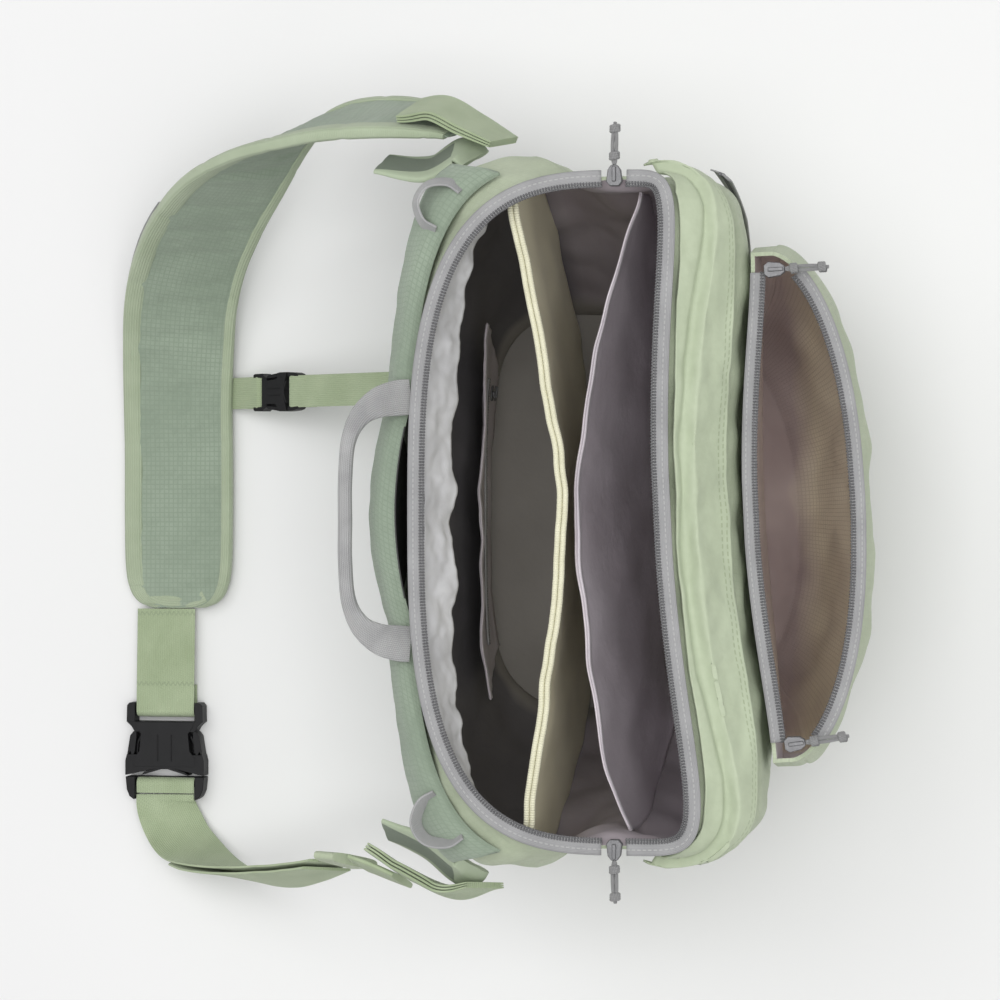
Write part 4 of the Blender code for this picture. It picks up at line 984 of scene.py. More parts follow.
flat_cut(collar_points)

# The inner pocket: a low pocket of the same mauve lining along the back wall, with a narrow
# zip across it and a hem along its leaning top edge.
INNER_TOP = 0.42
INNER_LEAN = 0.020
INNER_TURNS = (8 / 32, 24 / 32)
INNER_TAPE_HEIGHT = 0.28
INNER_TAPE_HALF = 0.014
INNER_TAPE_STAND = 0.0016 + 0.0015
INNER_TAPE_TURNS = (10 / 32, 22 / 32)
inner_turns = np.linspace(*INNER_TURNS, 150)
inner_heights = np.linspace(sheet_foot, INNER_TOP, 26)


def inner_line(turns, height, out=0.0):
    """Places on the inner pocket, which leans away from the back wall."""
    return beside_body(turns, height, -(COLLAR_INSET + INNER_LEAN * height / INNER_TOP) - out)


inner_points = np.stack([inner_line(inner_turns, height, 0.0007) for height in inner_heights])
inner_points = creased(inner_points, depth=0.0022, spacing=0.036, seed=63.0, share=0.9)
pocket_sheet = patch("inner_pocket_sheet", inner_points, mauve, wall=0.0009, offset=0.0)
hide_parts("inner_pocket")
flat_cut(inner_points)
band("inner_pocket_hem", plain_route(inner_points[-2], 90.0), 0.0060, 0.0018, mauve_hem,
     12, 4.0)

inner_tape_turns = np.linspace(*INNER_TAPE_TURNS, 120)
inner_rows = [inner_line(inner_tape_turns, INNER_TAPE_HEIGHT + INNER_TAPE_HALF * share,
                         INNER_TAPE_STAND + 0.0004 * (1 - share**2))
              for share in np.linspace(-1.0, 1.0, TAPE_LINES)]
inner_tape = patch("inner_tape", np.array(inner_rows), zip_tape, wall=TAPE_WALL, offset=0.0)
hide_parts("inner_pocket_zip")
middle = inner_rows[TAPE_LINES // 2]
beads("inner_coil", run_along(middle), middle, WIDE_BEAD_RADIUS, (1.0, 1.0, 1.0))

# The grab handle: grey webbing folded round a cord and sewn into a tube, flat at both ends
# where it is caught in the back seam.
HANDLE_WIDTH = 0.020
HANDLE_TUBE = 0.0078
HANDLE_HALF_SPAN = 0.069
HANDLE_REACH = 0.033
HANDLE_CENTRE_X = -0.0025
HANDLE_STAND = 0.0020
HANDLE_SEAT = 0.965
# along, out, rise, width share, thickness share of one half of the handle
HANDLE_HALF = (
    (1.00, 0.00, 0.000, 1.00, 0.28), (0.99, 0.22, 0.002, 1.00, 0.28),
    (0.95, 0.50, 0.006, 0.86, 0.40), (0.84, 0.78, 0.010, 0.60, 0.72),
    (0.64, 0.95, 0.013, 0.42, 1.00), (0.32, 1.00, 0.014, 0.39, 1.00),
    (0.00, 1.00, 0.014, 0.39, 1.00),
)


def webbing(name, tone, shade, rib=0.0012, seams=(), thread=(0.5, 0.55, 0.42)):
    """Woven webbing: ribs along it, a fine cross weave, and stitches at places along it."""
    finish = Finish(name, 0.72, 0.2)
    along, across = finish.cloth()
    rib_wave = across.wave(rib)
    pick = (along + across * 0.6).wave(0.0011)
    tint = finish.mottle(50.0, 3.0) + rib_wave * 0.16 + pick * 0.10
    colour = finish.blend(tint * 1.3 - 0.15, shade, tone)
    seam = across * 0.0
    for place in seams:
        zig = (along - place + across.wave(0.0030) * 0.0009).size() < 0.0006
        seam = seam.most(zig)
    finish.paint(finish.blend(seam * 0.6, colour, thread))
    finish.relief(rib_wave * 0.5 + pick * 0.35 + seam * 0.8, 0.00035, 0.7)
    return finish


grey_webbing = webbing("grey_webbing", (0.44, 0.44, 0.44), (0.24, 0.24, 0.245), 0.0011)
seat_out = on_body([0.5], HANDLE_SEAT)[0]
_, back_points = body_outline(HANDLE_SEAT)[0]
handle_seat = float(np.interp(-HANDLE_HALF_SPAN, -back_points[:, 0], back_points[:, 1]))
whole = HANDLE_HALF + tuple((-along, *rest) for along, *rest in reversed(HANDLE_HALF[:-1]))
route = [(HANDLE_CENTRE_X + along * HANDLE_HALF_SPAN,
          handle_seat + HANDLE_STAND + (seat_out[1] + HANDLE_REACH - handle_seat) * out,
          seat_out[2] + rise, 0.0, width, thick) for along, out, rise, width, thick in whole]
carry_handle = band("carry_handle", smooth_rows(route, 10), HANDLE_WIDTH, HANDLE_TUBE, grey_webbing,
                    28, 2.6)
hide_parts("grab_handle")

# The gear loops: two short loops of narrow grey webbing caught in the back seam.
GEAR_WIDTH = 0.010
GEAR_WALL = 0.0016
GEAR_REACH = 0.020
GEAR_SPREAD = 0.026
GEAR_TILT = 28.0
GEAR_STAND = 0.0034
GEAR_SEAT = 0.935
for tag, turn in (("a", 0.160), ("b", 0.840)):
    out = level_out([turn], GEAR_SEAT)[0]
    legs = [on_body([turn + side * GEAR_SPREAD], GEAR_SEAT, GEAR_STAND)[0] for side in (-1, 1)]
    middle = (legs[0] + legs[1]) / 2.0
    rows = [legs[0], legs[0] + out * GEAR_REACH * 0.45,
            legs[0] * 0.55 + middle * 0.45 + out * GEAR_REACH * 0.88, middle + out * GEAR_REACH,
            legs[1] * 0.55 + middle * 0.45 + out * GEAR_REACH * 0.88,
            legs[1] + out * GEAR_REACH * 0.45, legs[1]]
    tilt = -GEAR_TILT if turn < 0.5 else GEAR_TILT
    route = smooth_rows([(*row, 90.0 + tilt, 1.0, 1.0) for row in rows], 8)
    loop = band("webbing_loop_" + tag, route, GEAR_WIDTH, GEAR_WALL, grey_webbing, 16, 5.0)
    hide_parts("gear_loop_" + tag)

# The shoulder strap: a long foam pad covered in blue-green ripstop and bound at both edges,
# bent over from the bag's end and laid on the floor beside it.
STRAP_HALF_SPAN = 0.234
STRAP_REACH = 0.2725
STRAP_RISE = 0.150
PAD_WIDTH = 0.070
PAD_THICKNESS = 0.009
UNDER_WIDTH = 0.012
SMALL_WALL = 0.0016
PAD_REST = SMALL_WALL + GAP * 2 + PAD_THICKNESS / 2.0
# along, out, high, roll in degrees, width share, thickness share
PAD_ROUTE = (
    (0.966, 0.222, 1.010, -112, 0.60, 0.55), (0.985, 0.275, 1.000, -112, 0.80, 0.80),
    (1.002, 0.384, 0.975, -113, 0.94, 1.00), (1.002, 0.502, 0.920, -111, 1.00, 1.00),
    (0.980, 0.600, 0.845, -103, 1.00, 1.00), (0.940, 0.684, 0.750, -86, 1.00, 1.00),
    (0.876, 0.768, 0.620, -66, 1.00, 1.00), (0.792, 0.852, 0.460, -50, 1.00, 1.00),
    (0.690, 0.925, 0.290, -36, 1.00, 1.00), (0.575, 0.972, 0.150, -20, 1.00, 1.00),
    (0.445, 0.992, 0.060, -8, 1.00, 1.00), (0.310, 1.000, 0.014, -1, 1.00, 1.00),
    (0.160, 1.000, 0.000, 0, 1.00, 1.00), (0.000, 1.000, 0.000, 0, 1.00, 1.00),
    (-0.140, 1.000, 0.000, 0, 0.98, 1.00), (-0.205, 1.000, 0.000, 0, 0.90, 0.95),
    (-0.240, 1.000, 0.000, 0, 0.74, 0.80), (-0.256, 1.000, 0.000, 0, 0.50, 0.62),
)

# along, reach, depth of the folds across the pad
PAD_FOLDS = (
    (0.060, 0.010, 0.0016), (0.088, 0.008, 0.0014), (0.118, 0.009, 0.0016),
    (0.150, 0.011, 0.0014), (0.187, 0.010, 0.0010), (0.235, 0.012, 0.0008),
)


def laid(stations, rest=0.0):
    """Stations of the strap as rows of world places."""
    table = np.array(stations, dtype=float)
    table[:, 0] *= STRAP_HALF_SPAN
    table[:, 1] *= STRAP_REACH
    table[:, 2] = rest + table[:, 2] * (STRAP_RISE - rest)
    return table


pad_route = smooth_rows(laid(PAD_ROUTE, PAD_REST), 22)
pad_points, pad_marks, pad_across = band_grid(pad_route, PAD_WIDTH - 0.001, PAD_THICKNESS - 0.0006, 44, 3.6)
run = pad_marks[:, :1, 0]
cross_folds = np.zeros(pad_points.shape[:2])
for index in np.ndindex(cross_folds.shape):
    along, across = pad_marks[index]
    gathered = 0.30 + 0.70 * np.exp(-(((along - 0.125) / 0.075) ** 2))
    ripple = noise.noise(Vector((along * 130.0 + across * 30.0, across * 14.0, 5.0)))
    cross_folds[index] = 0.0042 * gathered * max(ripple, -0.35) * max(0.0, 1.0 - (across / 0.030) ** 4)
slant = run + pad_marks[..., 1] * 0.35
from_edge = np.clip(1.0 - (pad_marks[..., 1] / 0.032) ** 2, 0, 1)
for place, reach, deep in PAD_FOLDS:
    cross_folds += deep * np.exp(-(((slant - place) / reach) ** 2)) * from_edge
pad_out = outward(pad_points, True)
pad_out = pad_out * np.sign(((pad_points - pad_route[:, None, :3]) * pad_out).sum())
pad_points = pad_points - pad_out * cross_folds[..., None]
pad_points = creased(pad_points, depth=0.0009, spacing=0.020, seed=71.0, up=pad_out, share=0.3)
shoulder_pad = patch("shoulder_pad", pad_points, pad_green, pad_marks, cap=True, sharp=70.0)
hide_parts("strap_pad")

binding_green = webbing("binding_green", (0.415, 0.48, 0.345), (0.325, 0.385, 0.262), 0.0016)
edge_rows = pad_route[4:].copy()
for tag, side, wide in (("outer", -1.0, 0.0125), ("inner", 1.0, 0.0072)):
    aside = side * (PAD_WIDTH * edge_rows[:, 4] / 2.0 - wide / 2.0 + 0.0006)
    strip = edge_rows.copy()
    strip[:, 4] = 1.0
    puckers = 1.0 - 0.14 * np.exp(-((((np.arange(len(strip)) % 34) - 17.0) / 1.6) ** 2))
    strip[:, 5] = edge_rows[:, 5] * puckers
    band("pad_binding_" + tag, strip, wide, PAD_THICKNESS * 0.92, binding_green,
         20, 3.4, aside=aside)

last, tip = pad_route[-1], unit(pad_route[-1, :3] - pad_route[-2, :3])
half_end = PAD_WIDTH * last[4] / 2.0
end_line = [last[:3] - tip * (0.0042 + 0.0035 * abs(share) ** 3) + pad_across[-1] * share * half_end
            for share in np.linspace(-1.0, 1.0, 13)]
band("pad_binding_end", plain_route(end_line, 0.0), 0.0095, PAD_THICKNESS * last[5] * 1.12, binding_green,
     20, 3.4)

under_route = smooth_rows(laid(PAD_ROUTE[7:15], PAD_REST), 8)
under_route[:, 4:] = 1.0
under_shift = -(PAD_THICKNESS / 2.0 + GAP * 2 + SMALL_WALL / 2.0)
under_strip = band("pad_under_webbing", under_route, UNDER_WIDTH, SMALL_WALL, grey_webbing,
                   12, 5.0, under_shift, UNDER_WIDTH / 2.0 - PAD_WIDTH / 2.0)
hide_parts("strap_under_webbing")

# The strap's anchors: a stitched fabric wing and a thick fold of webbing at each end of the
# bag, a webbing loop at the lower end and a sewn sleeve that keeps the strap's tail.
WEBBING_WIDTH = 0.038
WEBBING_WALL = 0.0018
TAB_WALL = 0.0062
LOOP_WALL = 0.0040
KEEPER_WALL = 0.0064
WING_HEIGHT = 0.038
WING_WALL = 0.007
WING_SEAT = 0.70
WING_TURN = 0.085
WING_ROOT_OUT = 0.0120
WING_SEAM_OUT = 0.003
UPPER_WING_END = ((0.862, 0.285, 1.12, 62, 0.96, 0.80), (0.878, 0.388, 1.08, 58, 0.66, 0.50))
LOWER_WING_END = ((-0.822, 0.290, 1.12, 118, 0.96, 0.80), (-0.785, 0.380, 1.08, 122, 0.66, 0.50))
UPPER_TAB = ((1.014, 0.330, 1.050, 113, 1.00, 0.75), (1.012, 0.262, 1.085, 113, 1.00, 1.00),
             (0.970, 0.194, 1.115, 111, 1.00, 1.00), (0.922, 0.118, 1.140, 106, 1.00, 0.70))
LOWER_TAB = ((-0.8625, 0.420, 0.880, 76, 0.96, 0.90), (-0.902, 0.349, 0.940, 76, 1.00, 1.00),
             (-0.936, 0.250, 1.030, 76, 1.00, 1.00), (-0.915, 0.160, 1.120, 78, 0.90, 0.60))
LOOP_ROUTE = ((-0.893, 0.472, 0.785, -106, 1, 1), (-0.907, 0.430, 0.810, -106, 1, 1),
              (-0.930, 0.372, 0.835, -104, 1, 1))
KEEPER_ROUTE = ((-0.891, 0.536, 0.709, -106, 1, 1), (-0.888, 0.487, 0.760, -104, 1, 1))
# shift through the tab and share of its thickness, for each of the folded webbing's layers
TAB_LAYERS = ((-0.0020, 0.32), (0.0, 0.31), (0.0020, 0.32))

green_webbing = webbing("green_webbing", (0.42, 0.495, 0.325), (0.30, 0.370, 0.220))
wing_mesh = Finish("wing_mesh", 0.8, 0.1)
wing_along, wing_across = wing_mesh.cloth()
netting = (wing_across.size() < 0.0105) * (wing_along > 0.014)
holes = ((wing_along + wing_across).wave(0.0022) * (wing_along - wing_across).wave(0.0022)).size()
net_tone = wing_mesh.blend(holes, (0.13, 0.16, 0.125), (0.34, 0.40, 0.31))
wing_edge = wing_mesh.blend(wing_mesh.mottle(40.0, 3.0), (0.36, 0.425, 0.30), (0.47, 0.54, 0.40))
wing_mesh.paint(wing_mesh.blend(netting, wing_edge, net_tone))
wing_mesh.relief(holes * netting + wing_mesh.mottle(90.0, 3.0), 0.0006, 0.7)
for tag, turn, inward, end in (("upper", 0.0, 1.0, UPPER_WING_END), ("lower", 1.0, -1.0, LOWER_WING_END)):
    root = on_body([turn + inward * WING_TURN], WING_SEAT, WING_ROOT_OUT)[0]
    seam = on_body([turn + inward * WING_TURN * 0.9], WING_SEAT, WING_SEAM_OUT)[0]
    lean = end[0][3]
    route = smooth_rows([(*seam, lean, 0.9, 0.5), (*root, lean, 1.0, 0.8), *laid(end)], 12)
    points, marks, _ = band_grid(route, WING_HEIGHT, WING_WALL, 30, 3.4)
    from_middle = unit(points - points.mean(axis=1, keepdims=True))
    points = creased(points, depth=0.0009, spacing=0.016, seed=81.0, up=from_middle, share=0.3)
    wing = patch("strap_wing_cover_" + tag, points, wing_mesh, marks, cap=True, sharp=70.0)
    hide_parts("strap_wing_" + tag)
for tag, stations in (("upper", UPPER_TAB), ("lower", LOWER_TAB)):
    route = smooth_rows(laid(stations), 14)
    for place, (shift, thin) in enumerate(TAB_LAYERS):
        layer = route.copy()
        layer[:, 5] *= thin
        band(f"anchor_tab_{tag}_{place}", layer, WEBBING_WIDTH, TAB_WALL, green_webbing,
                           16, 6.0, shift * route[:, 5])
    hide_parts("strap_tab_" + tag)
loop = band("anchor_loop", smooth_rows(laid(LOOP_ROUTE), 12), WEBBING_WIDTH, LOOP_WALL,
            green_webbing, 20, 4.0)
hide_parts("strap_loop_lower")
keeper = band("tail_keeper", smooth_rows(laid(KEEPER_ROUTE), 12), WEBBING_WIDTH * 1.06, KEEPER_WALL,
              shell_green, 24, 4.0)
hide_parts("strap_keeper")

# The strap's webbing: 38 mm green webbing from the buckle up to the keeper, with its sewn
# tail beside it, and the short ends that go round the two bars of the buckle.
BUCKLE = Vector((0.062, 0.052, 0.012))
UPPER_WEBBING_RUN = 0.0611
BUCKLE_BAR_X = PAD_ROUTE[-1][0] * STRAP_HALF_SPAN - UPPER_WEBBING_RUN
BUCKLE_Y = STRAP_REACH * 1.03
FIRST_BAR = 0.075
SECOND_BAR = 0.845
BAR_RADIUS = 0.0022
LOOP_TAIL = 0.016
TAIL_GAP = 0.0020
WEBBING_ROUTE = (
    (-0.768, 1.030, 0.062, 0, 1, 1), (-0.802, 1.029, 0.058, -4, 1, 1), (-0.850, 1.008, 0.074, -18, 1, 1),
    (-0.893, 0.974, 0.125, -42, 1, 1), (-0.925, 0.918, 0.205, -68, 1, 1), (-0.946, 0.850, 0.295, -90, 1, 1),
    (-0.953, 0.770, 0.400, -106, 1, 1), (-0.944, 0.694, 0.500, -114, 1, 1),
    (-0.922, 0.620, 0.600, -112, 1, 1), (-0.893, 0.545, 0.700, -106, 1, 1),
)
webbing_route = smooth_rows(laid(WEBBING_ROUTE), 12)
lower_webbing = band("running_webbing", webbing_route, WEBBING_WIDTH, WEBBING_WALL, green_webbing,
                     20, 8.0)
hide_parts("strap_webbing_lower")
tail_route = smooth_rows(laid(WEBBING_ROUTE[3:]), 12)[6:-3]
webbing_tail = band("webbing_tail", tail_route, WEBBING_WIDTH, WEBBING_WALL, green_webbing,
                    20, 8.0, -(WEBBING_WALL + TAIL_GAP))
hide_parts("strap_webbing_tail")


def bar_turn(bar, inward, up, radius, tail):
    """The end of a webbing over a bar, round it and back beneath."""
    angles = np.linspace(0.0, pi, 17)
    arc = [bar + up * (radius * cos(a)) + inward * (radius * sin(a)) for a in angles]
    return [*arc, bar - up * radius - inward * (tail / 2.0), bar - up * radius - inward * tail]


def looped(name, points, across, width, wall, look):
    """A flat green webbing along points whose width keeps one direction."""
    points = np.array([tuple(point) for point in points])
    across = np.array(across)
    face = unit(np.cross(unit(np.gradient(points, axis=0)), across))
    u, v = flat_section(width, wall, 8.0, 20)
    grid = points[:, None] + across * u[None, :, None] + face[:, None] * v[None, :, None]
    marks = np.stack(np.meshgrid(run_along(points), u, indexing="ij"), axis=2)
    return patch(name, grid, look, marks, cap=True, sharp=60.0)


stitched_webbing = webbing("stitched_webbing", (0.42, 0.495, 0.325), (0.30, 0.370, 0.220),
                           seams=(0.003, 0.048), thread=(0.27, 0.33, 0.21))
radius = BAR_RADIUS + GAP * 2 + WEBBING_WALL / 2.0
up = Vector(UP)
ahead = Vector((1.0, 0.0, 0.0))
buckle_origin = Vector((BUCKLE_BAR_X, BUCKLE_Y, BUCKLE.z / 2.0))
first_bar = buckle_origin - ahead * FIRST_BAR * BUCKLE.x
second_bar = buckle_origin - ahead * SECOND_BAR * BUCKLE.x
start = Vector((PAD_ROUTE[-1][0] * STRAP_HALF_SPAN - GAP * 3, first_bar.y, PAD_REST))
over = first_bar + up * radius
points = [start.lerp(over, share) for share in np.linspace(0.0, 0.95, 14)]
points += bar_turn(first_bar, -ahead, up, radius, LOOP_TAIL)
upper_webbing = looped("pad_end_webbing", points, (0.0, 1.0, 0.0), WEBBING_WIDTH, WEBBING_WALL,
                       stitched_webbing)
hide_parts("strap_webbing_upper")
turn_points = bar_turn(second_bar, ahead, up, radius, LOOP_TAIL)
start = Vector(webbing_route[0][:3]) + ahead * GAP * 3
lower_loop = looped("buckle_end_webbing", [start, *turn_points[:-2]], (0.0, 1.0, 0.0), WEBBING_WIDTH,
                    WEBBING_WALL, green_webbing)
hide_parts("strap_webbing_loop")

# The side-release buckles: moulded black acetal, one at the strap's width and one small one
# on the cross strap. The prongs' springs show in the two side windows of the outer half.
buckle_black = Finish("buckle_black", 0.42, 0.0, 0.22)
buckle_black.tinted(80.0, (0.008, 0.008, 0.009), (0.014, 0.014, 0.015), 3.0)
buckle_black.gloss(buckle_black.mottle(140.0, 3.0) * 0.18 + 0.40)
buckle_black.relief(buckle_black.mottle(1400.0, 2.0), 0.00012, 0.5)


def plate(bm, outline, low, high, place):
    """A flat moulded plate between two heights, from its outline."""
    verts = [bm.verts.new((x, y, low)) for x, y in outline]
    face = bmesh.ops.contextual_create(bm, geom=verts)["faces"]
    raised = bmesh.ops.extrude_face_region(bm, geom=face)["geom"]
    top = [item for item in raised if isinstance(item, bmesh.types.BMVert)]
    bmesh.ops.translate(bm, verts=top, vec=(0.0, 0.0, high - low))
    bmesh.ops.transform(bm, matrix=place, verts=verts + top)


def moulded(name, plates, size, place, node, edge):
    """Plates with softened edges as one half of a buckle."""
    bm = bmesh.new()
    for outline, low, high in plates:
        scaled = [(x * size.x, y * size.y / 2.0) for x, y in outline]
        plate(bm, scaled, low * size.z / 2.0, high * size.z / 2.0, place)
    bmesh.ops.recalc_face_normals(bm, faces=bm.faces)
    made = sewn(name, bm, buckle_black, sharp=35.0)
    soft = made.modifiers.new("edges", "BEVEL")
    soft.width = edge
    soft.segments = 2
    soft.limit_method = "ANGLE"
    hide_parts(node)


def both_sides(outline):
    """An outline closed by its own mirror image."""
    return list(outline) + [(x, -y) for x, y in reversed(outline)]


def pair(outline, low, high):
    """Two like plates, one on each side of the middle."""
    return [(outline, low, high), ([(x, -y) for x, y in outline], low, high)]


def bar(left, right, half):
    return [(left, -half), (right, -half), (right, half), (left, half)]


def buckle(prefix, size, place, edge):
    """Both halves of a fastened side-release buckle, as plates, rails and bars."""
    female = [
        (both_sides(((0.20, 0.74), (0.25, 0.72), (0.32, 0.60), (0.50, 0.64), (0.57, 0.78),
                     (0.66, 0.78), (0.66, 0.05))), -1.0, 1.0),
        (both_sides(((0.535, 0.96), (0.60, 1.00), (0.75, 1.00), (0.75, 0.60), (0.715, 0.52),
                     (0.69, 0.32), (0.685, 0.08), (0.535, 0.08))), -1.0, 0.98),
        *pair([(0.28, 0.72), (0.30, 0.80), (0.34, 0.88), (0.50, 0.88), (0.57, 0.97), (0.57, 0.82),
               (0.50, 0.76), (0.36, 0.72)], -0.9, 0.9),
        (both_sides(((0.195, 0.97), (0.245, 0.84), (0.30, 0.76), (0.30, 0.10), (0.195, 0.10))), -0.95, 0.95),
        *pair([(0.00, 0.76), (0.00, 0.90), (0.03, 0.96), (0.20, 0.97), (0.20, 0.76)], -0.9, 0.9),
        (bar(0.045, 0.105, 0.80), -0.36, 0.36),
        *pair([(0.33, 0.16), (0.60, 0.16), (0.60, 0.19), (0.33, 0.19)], 0.9, 1.10),
    ]
    moulded(prefix + "_socket", female, size, place, prefix + "_female", edge)
    male = [
        (both_sides(((0.765, 0.98), (0.80, 0.99), (0.80, 0.30), (0.79, 0.02), (0.765, 0.02))), -0.8, 0.1),
        *pair([(0.765, 0.76), (0.765, 1.00), (0.90, 0.97), (0.97, 0.90), (1.00, 0.80), (1.00, 0.76)],
              -0.9, 0.9),
        (bar(0.815, 0.875, 0.80), -0.36, 0.36),
        *pair([(0.33, 0.64), (0.40, 0.735), (0.53, 0.76), (0.53, 0.70), (0.43, 0.69), (0.36, 0.62)],
              -0.45, 0.45),
    ]
    moulded(prefix + "_prong", male, size, place, prefix + "_male", edge)


buckle("buckle", BUCKLE, placed(buckle_origin, -ahead, up.cross(-ahead), up), 0.0008)

# The cross strap: narrow green webbing from the pad's inner edge to the back panel, joined
# by the small buckle.
SMALL_BUCKLE = Vector((0.042, 0.0245, 0.008))
SMALL_BUCKLE_Y = 0.214
SMALL_WIDTH = 0.020
SMALL_BAR = 0.0016
STERNUM_X = 0.077
STERNUM_HEIGHT = 0.40
turns = np.linspace(0.2, 0.8, 121)
turn = min(turns, key=lambda t: abs(on_outline([t], STERNUM_HEIGHT)[0, 0] - STERNUM_X))
face_y = on_body([turn], STERNUM_HEIGHT, GAP * 3 + PANEL_THICKNESS + panel_crown(turn))[0, 1]
pad_edge = Vector((STERNUM_X, STRAP_REACH - PAD_WIDTH / 2.0 - GAP * 3, PAD_REST))
bag_end = Vector((STERNUM_X, face_y + GAP * 6, STERNUM_HEIGHT * BODY_HEIGHT))
toward = (bag_end - pad_edge).normalized()
lifted = toward.cross(-ahead).normalized()
lifted = lifted if lifted.z > 0 else -lifted
origin = pad_edge + toward * (STRAP_REACH - PAD_WIDTH / 2.0 - SMALL_BUCKLE_Y)
small_place = placed(origin, toward, lifted.cross(toward), lifted)
buckle("sternum_buckle", SMALL_BUCKLE, small_place, 0.0005)
small_radius = SMALL_BAR + GAP * 2 + SMALL_WALL / 2.0
for tag, begin, bar_x, inward in (
    ("pad", pad_edge, FIRST_BAR, toward),
    ("bag", bag_end, SECOND_BAR, -toward),
):
    bar_at = small_place @ Vector((bar_x * SMALL_BUCKLE.x, 0.0, 0.0))
    over = bar_at + lifted * small_radius
    points = [begin.lerp(over, share) for share in np.linspace(0.0, 0.95, 16)]
    tail = min(LOOP_TAIL, (begin - bar_at).length * 0.6)
    points += bar_turn(bar_at, inward, lifted, small_radius, tail)
    strip = looped("cross_webbing_" + tag, points, -ahead, SMALL_WIDTH, SMALL_WALL, green_webbing)
    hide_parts("sternum_webbing_" + tag)

# The sliders and their pulls: die-cast grey bodies, each with a short loop of braided grey
# cord that is knotted at both ends.
SLIDER = Vector((0.012, 0.009, 0.0055))
INNER_SLIDER = Vector((0.010, 0.007, 0.004))
PULL_LENGTH = 0.024
PULL_SINK = 0.004
CORD_RADIUS = 0.00105
CORD_SIDES = 8
CORD_GIRTH = 0.0066
CORD_SPREAD = 0.0011
KNOT_SHARES = (0.20, 0.84)
KNOT_RADIUS = 0.0021
KNOT_REACH = 0.0017
KNOT_ANGLE = tau * 2.75
slider_metal = Finish("slider_metal", 0.34, 0.0, 0.5)
slider_metal.tinted(300.0, (0.085, 0.085, 0.09), (0.16, 0.16, 0.165))
slider_metal.shader.inputs["Metallic"].default_value = 0.35
slider_metal.relief(slider_metal.mottle(700.0), 0.0002, 0.4)
cord_braid = Finish("cord_braid", 0.75, 0.2)
cord_along, cord_across = cord_braid.cloth()
braid = (cord_along + cord_across * 1.2).wave(0.0013) * (cord_along - cord_across * 1.2).wave(0.0013)
cord_braid.paint(cord_braid.blend(braid * 0.5 + 0.5, (0.20, 0.20, 0.205), (0.42, 0.42, 0.42)))
cord_braid.relief(braid, 0.0004, 0.8)


def slider(name, centre, out, up, size, node):
    """A cast body in two plates over a bridge, with a loop for the pull."""
    place = placed(centre, out, up.cross(out).normalized(), up)
    bm = bmesh.new()
    half = size / 2.0
    shield = [(-0.95, 0.55), (-0.55, 0.98), (0.55, 0.80), (0.98, 0.38)]
    outline = [(x * half.x, y * half.y) for x, y in both_sides(shield)]
    plate(bm, outline, -half.z, -half.z * 0.45, place)
    plate(bm, outline, half.z * 0.10, half.z * 0.58, place)
    plate(bm, bar(-half.x * 0.4, half.x * 0.2, 0.0012), -half.z * 0.5, half.z * 0.2, place)
    plate(bm, bar(-half.x * 0.55, half.x * 0.85, 0.0011), half.z * 0.5, half.z, place)
    bmesh.ops.recalc_face_normals(bm, faces=bm.faces)
    made = sewn(name, bm, slider_metal, sharp=35.0)
    soft = made.modifiers.new("edges", "BEVEL")
    soft.width = 0.0004
    soft.segments = 2
    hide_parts(node)


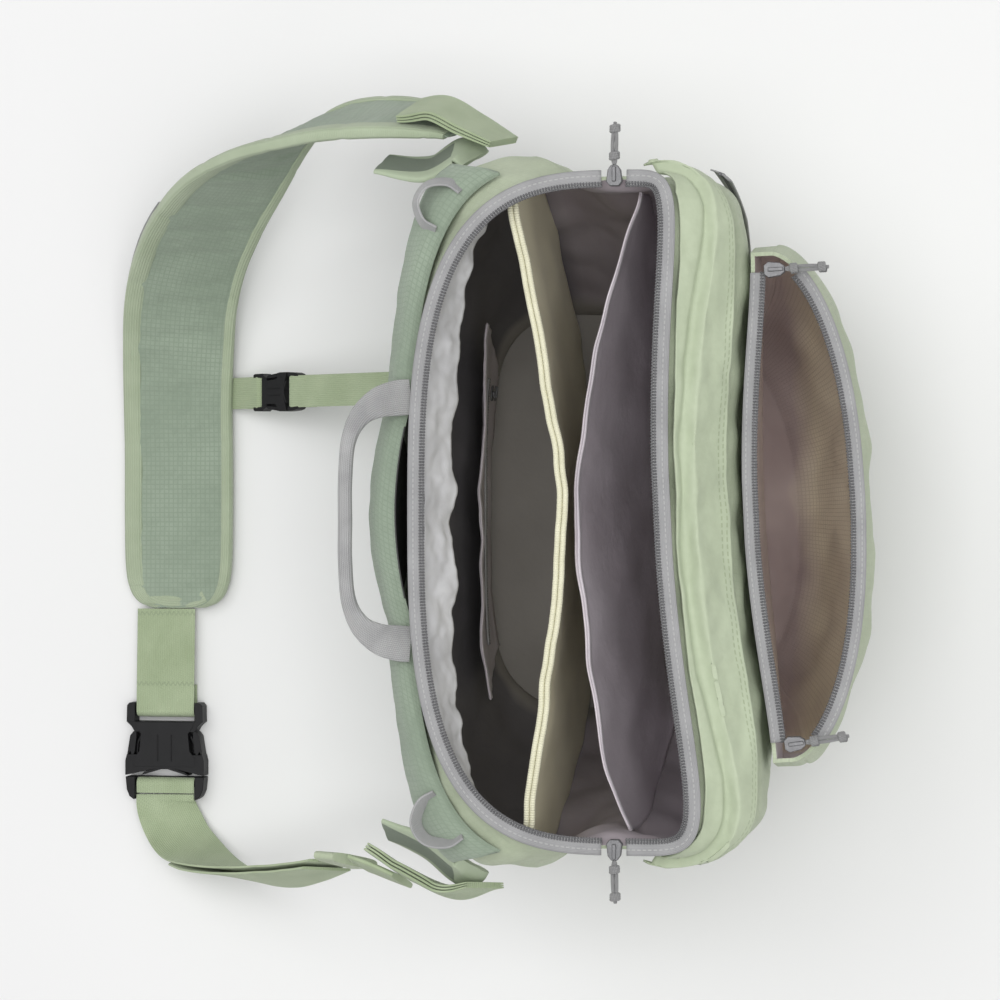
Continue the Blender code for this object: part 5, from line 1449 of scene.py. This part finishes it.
def cord_pull(name, start, out, node):
    """Two parallel cords between two knots; each knot is three turns of the cord."""
    side = up.cross(out).normalized()
    bm = bmesh.new()
    bm.loops.layers.uv.new("cloth")
    routes = []
    for aside in (-CORD_SPREAD, CORD_SPREAD):
        routes.append([start + out * (PULL_LENGTH * s) + side * aside * sin(pi * min(1.0, s * 1.1)) ** 0.5
                       - up * (PULL_SINK * s**2) for s in np.linspace(0.0, 0.98, 26)])
    for share in KNOT_SHARES:
        hub = start + out * (PULL_LENGTH * share) - up * (PULL_SINK * share**2)
        routes.append([hub + out * (KNOT_REACH * (a / KNOT_ANGLE * 2.0 - 1.0))
                       + side * (KNOT_RADIUS * cos(a)) + up * (KNOT_RADIUS * sin(a))
                       for a in np.linspace(0.0, KNOT_ANGLE, 60)])
    round_share = np.arange(CORD_SIDES + 1) / CORD_SIDES
    for route in routes:
        points = np.array([tuple(point) for point in route])
        travel = unit(np.gradient(points, axis=0))
        first = unit(np.cross(travel, np.array(side) * 0.3 + np.array((0.1, 0.2, 1.0))))
        turned = first[:, None] * np.cos(tau * round_share)[None, :, None]
        turned = turned + np.cross(travel, first)[:, None] * np.sin(tau * round_share)[None, :, None]
        marks = np.stack(np.meshgrid(run_along(points), round_share * CORD_GIRTH, indexing="ij"), axis=2)
        cord = gridded(points[:, None] + CORD_RADIUS * turned, marks, True)
        strand = bpy.data.meshes.new("strand")
        cord.to_mesh(strand)
        cord.free()
        bm.from_mesh(strand)
        bpy.data.meshes.remove(strand)
    made = sewn(name, bm, cord_braid, sharp=80.0)
    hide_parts(node)


def pocket_middle(share):
    """The place between the pocket's two walls, at the height of the higher one."""
    inner, outer = (pocket_line([share], POCKET_TOP, 0.0, is_outer)[0] for is_outer in (False, True))
    middle = (inner + outer) / 2.0
    middle[2] = max(inner[2], outer[2])
    return Vector(middle)


rim_lift = GAP * 3 + SLIDER.z / 2.0
pocket_lift = 0.0022 + GAP * 5 + SLIDER.z / 2.0
for tag, point, out, lift in (
    ("main_zip_{}_a", Vector(beside_body([0.0], 1.0)[0]), ahead.copy(), rim_lift),
    ("main_zip_{}_b", Vector(beside_body([1.0], 1.0)[0]), -ahead, rim_lift),
    ("pocket_zip_{}_a", pocket_middle(POCKET_TAPE_END), Vector((0.05, -1.0, 0.0)), pocket_lift),
    ("pocket_zip_{}_b", pocket_middle(-POCKET_TAPE_END), Vector((0.15, -1.0, 0.0)), pocket_lift),
):
    out.normalize()
    centre = point + up * lift
    slider(tag.format("runner"), centre, out, up, SLIDER, tag.format("slider"))
    start = centre + out * (SLIDER.x / 2.0 + GAP)
    cord_pull(tag.format("cord"), start, out, tag.format("pull"))

inner_turn = INNER_TAPE_TURNS[0] + 0.02
point = Vector(inner_line([inner_turn], INNER_TAPE_HEIGHT, 0.0014 + 0.0022 + GAP * 6 + 0.002)[0])
face = -Vector(level_out([inner_turn], INNER_TAPE_HEIGHT)[0])
slider("inner_runner", point, up.cross(face), face, INNER_SLIDER, "inner_zip_slider")
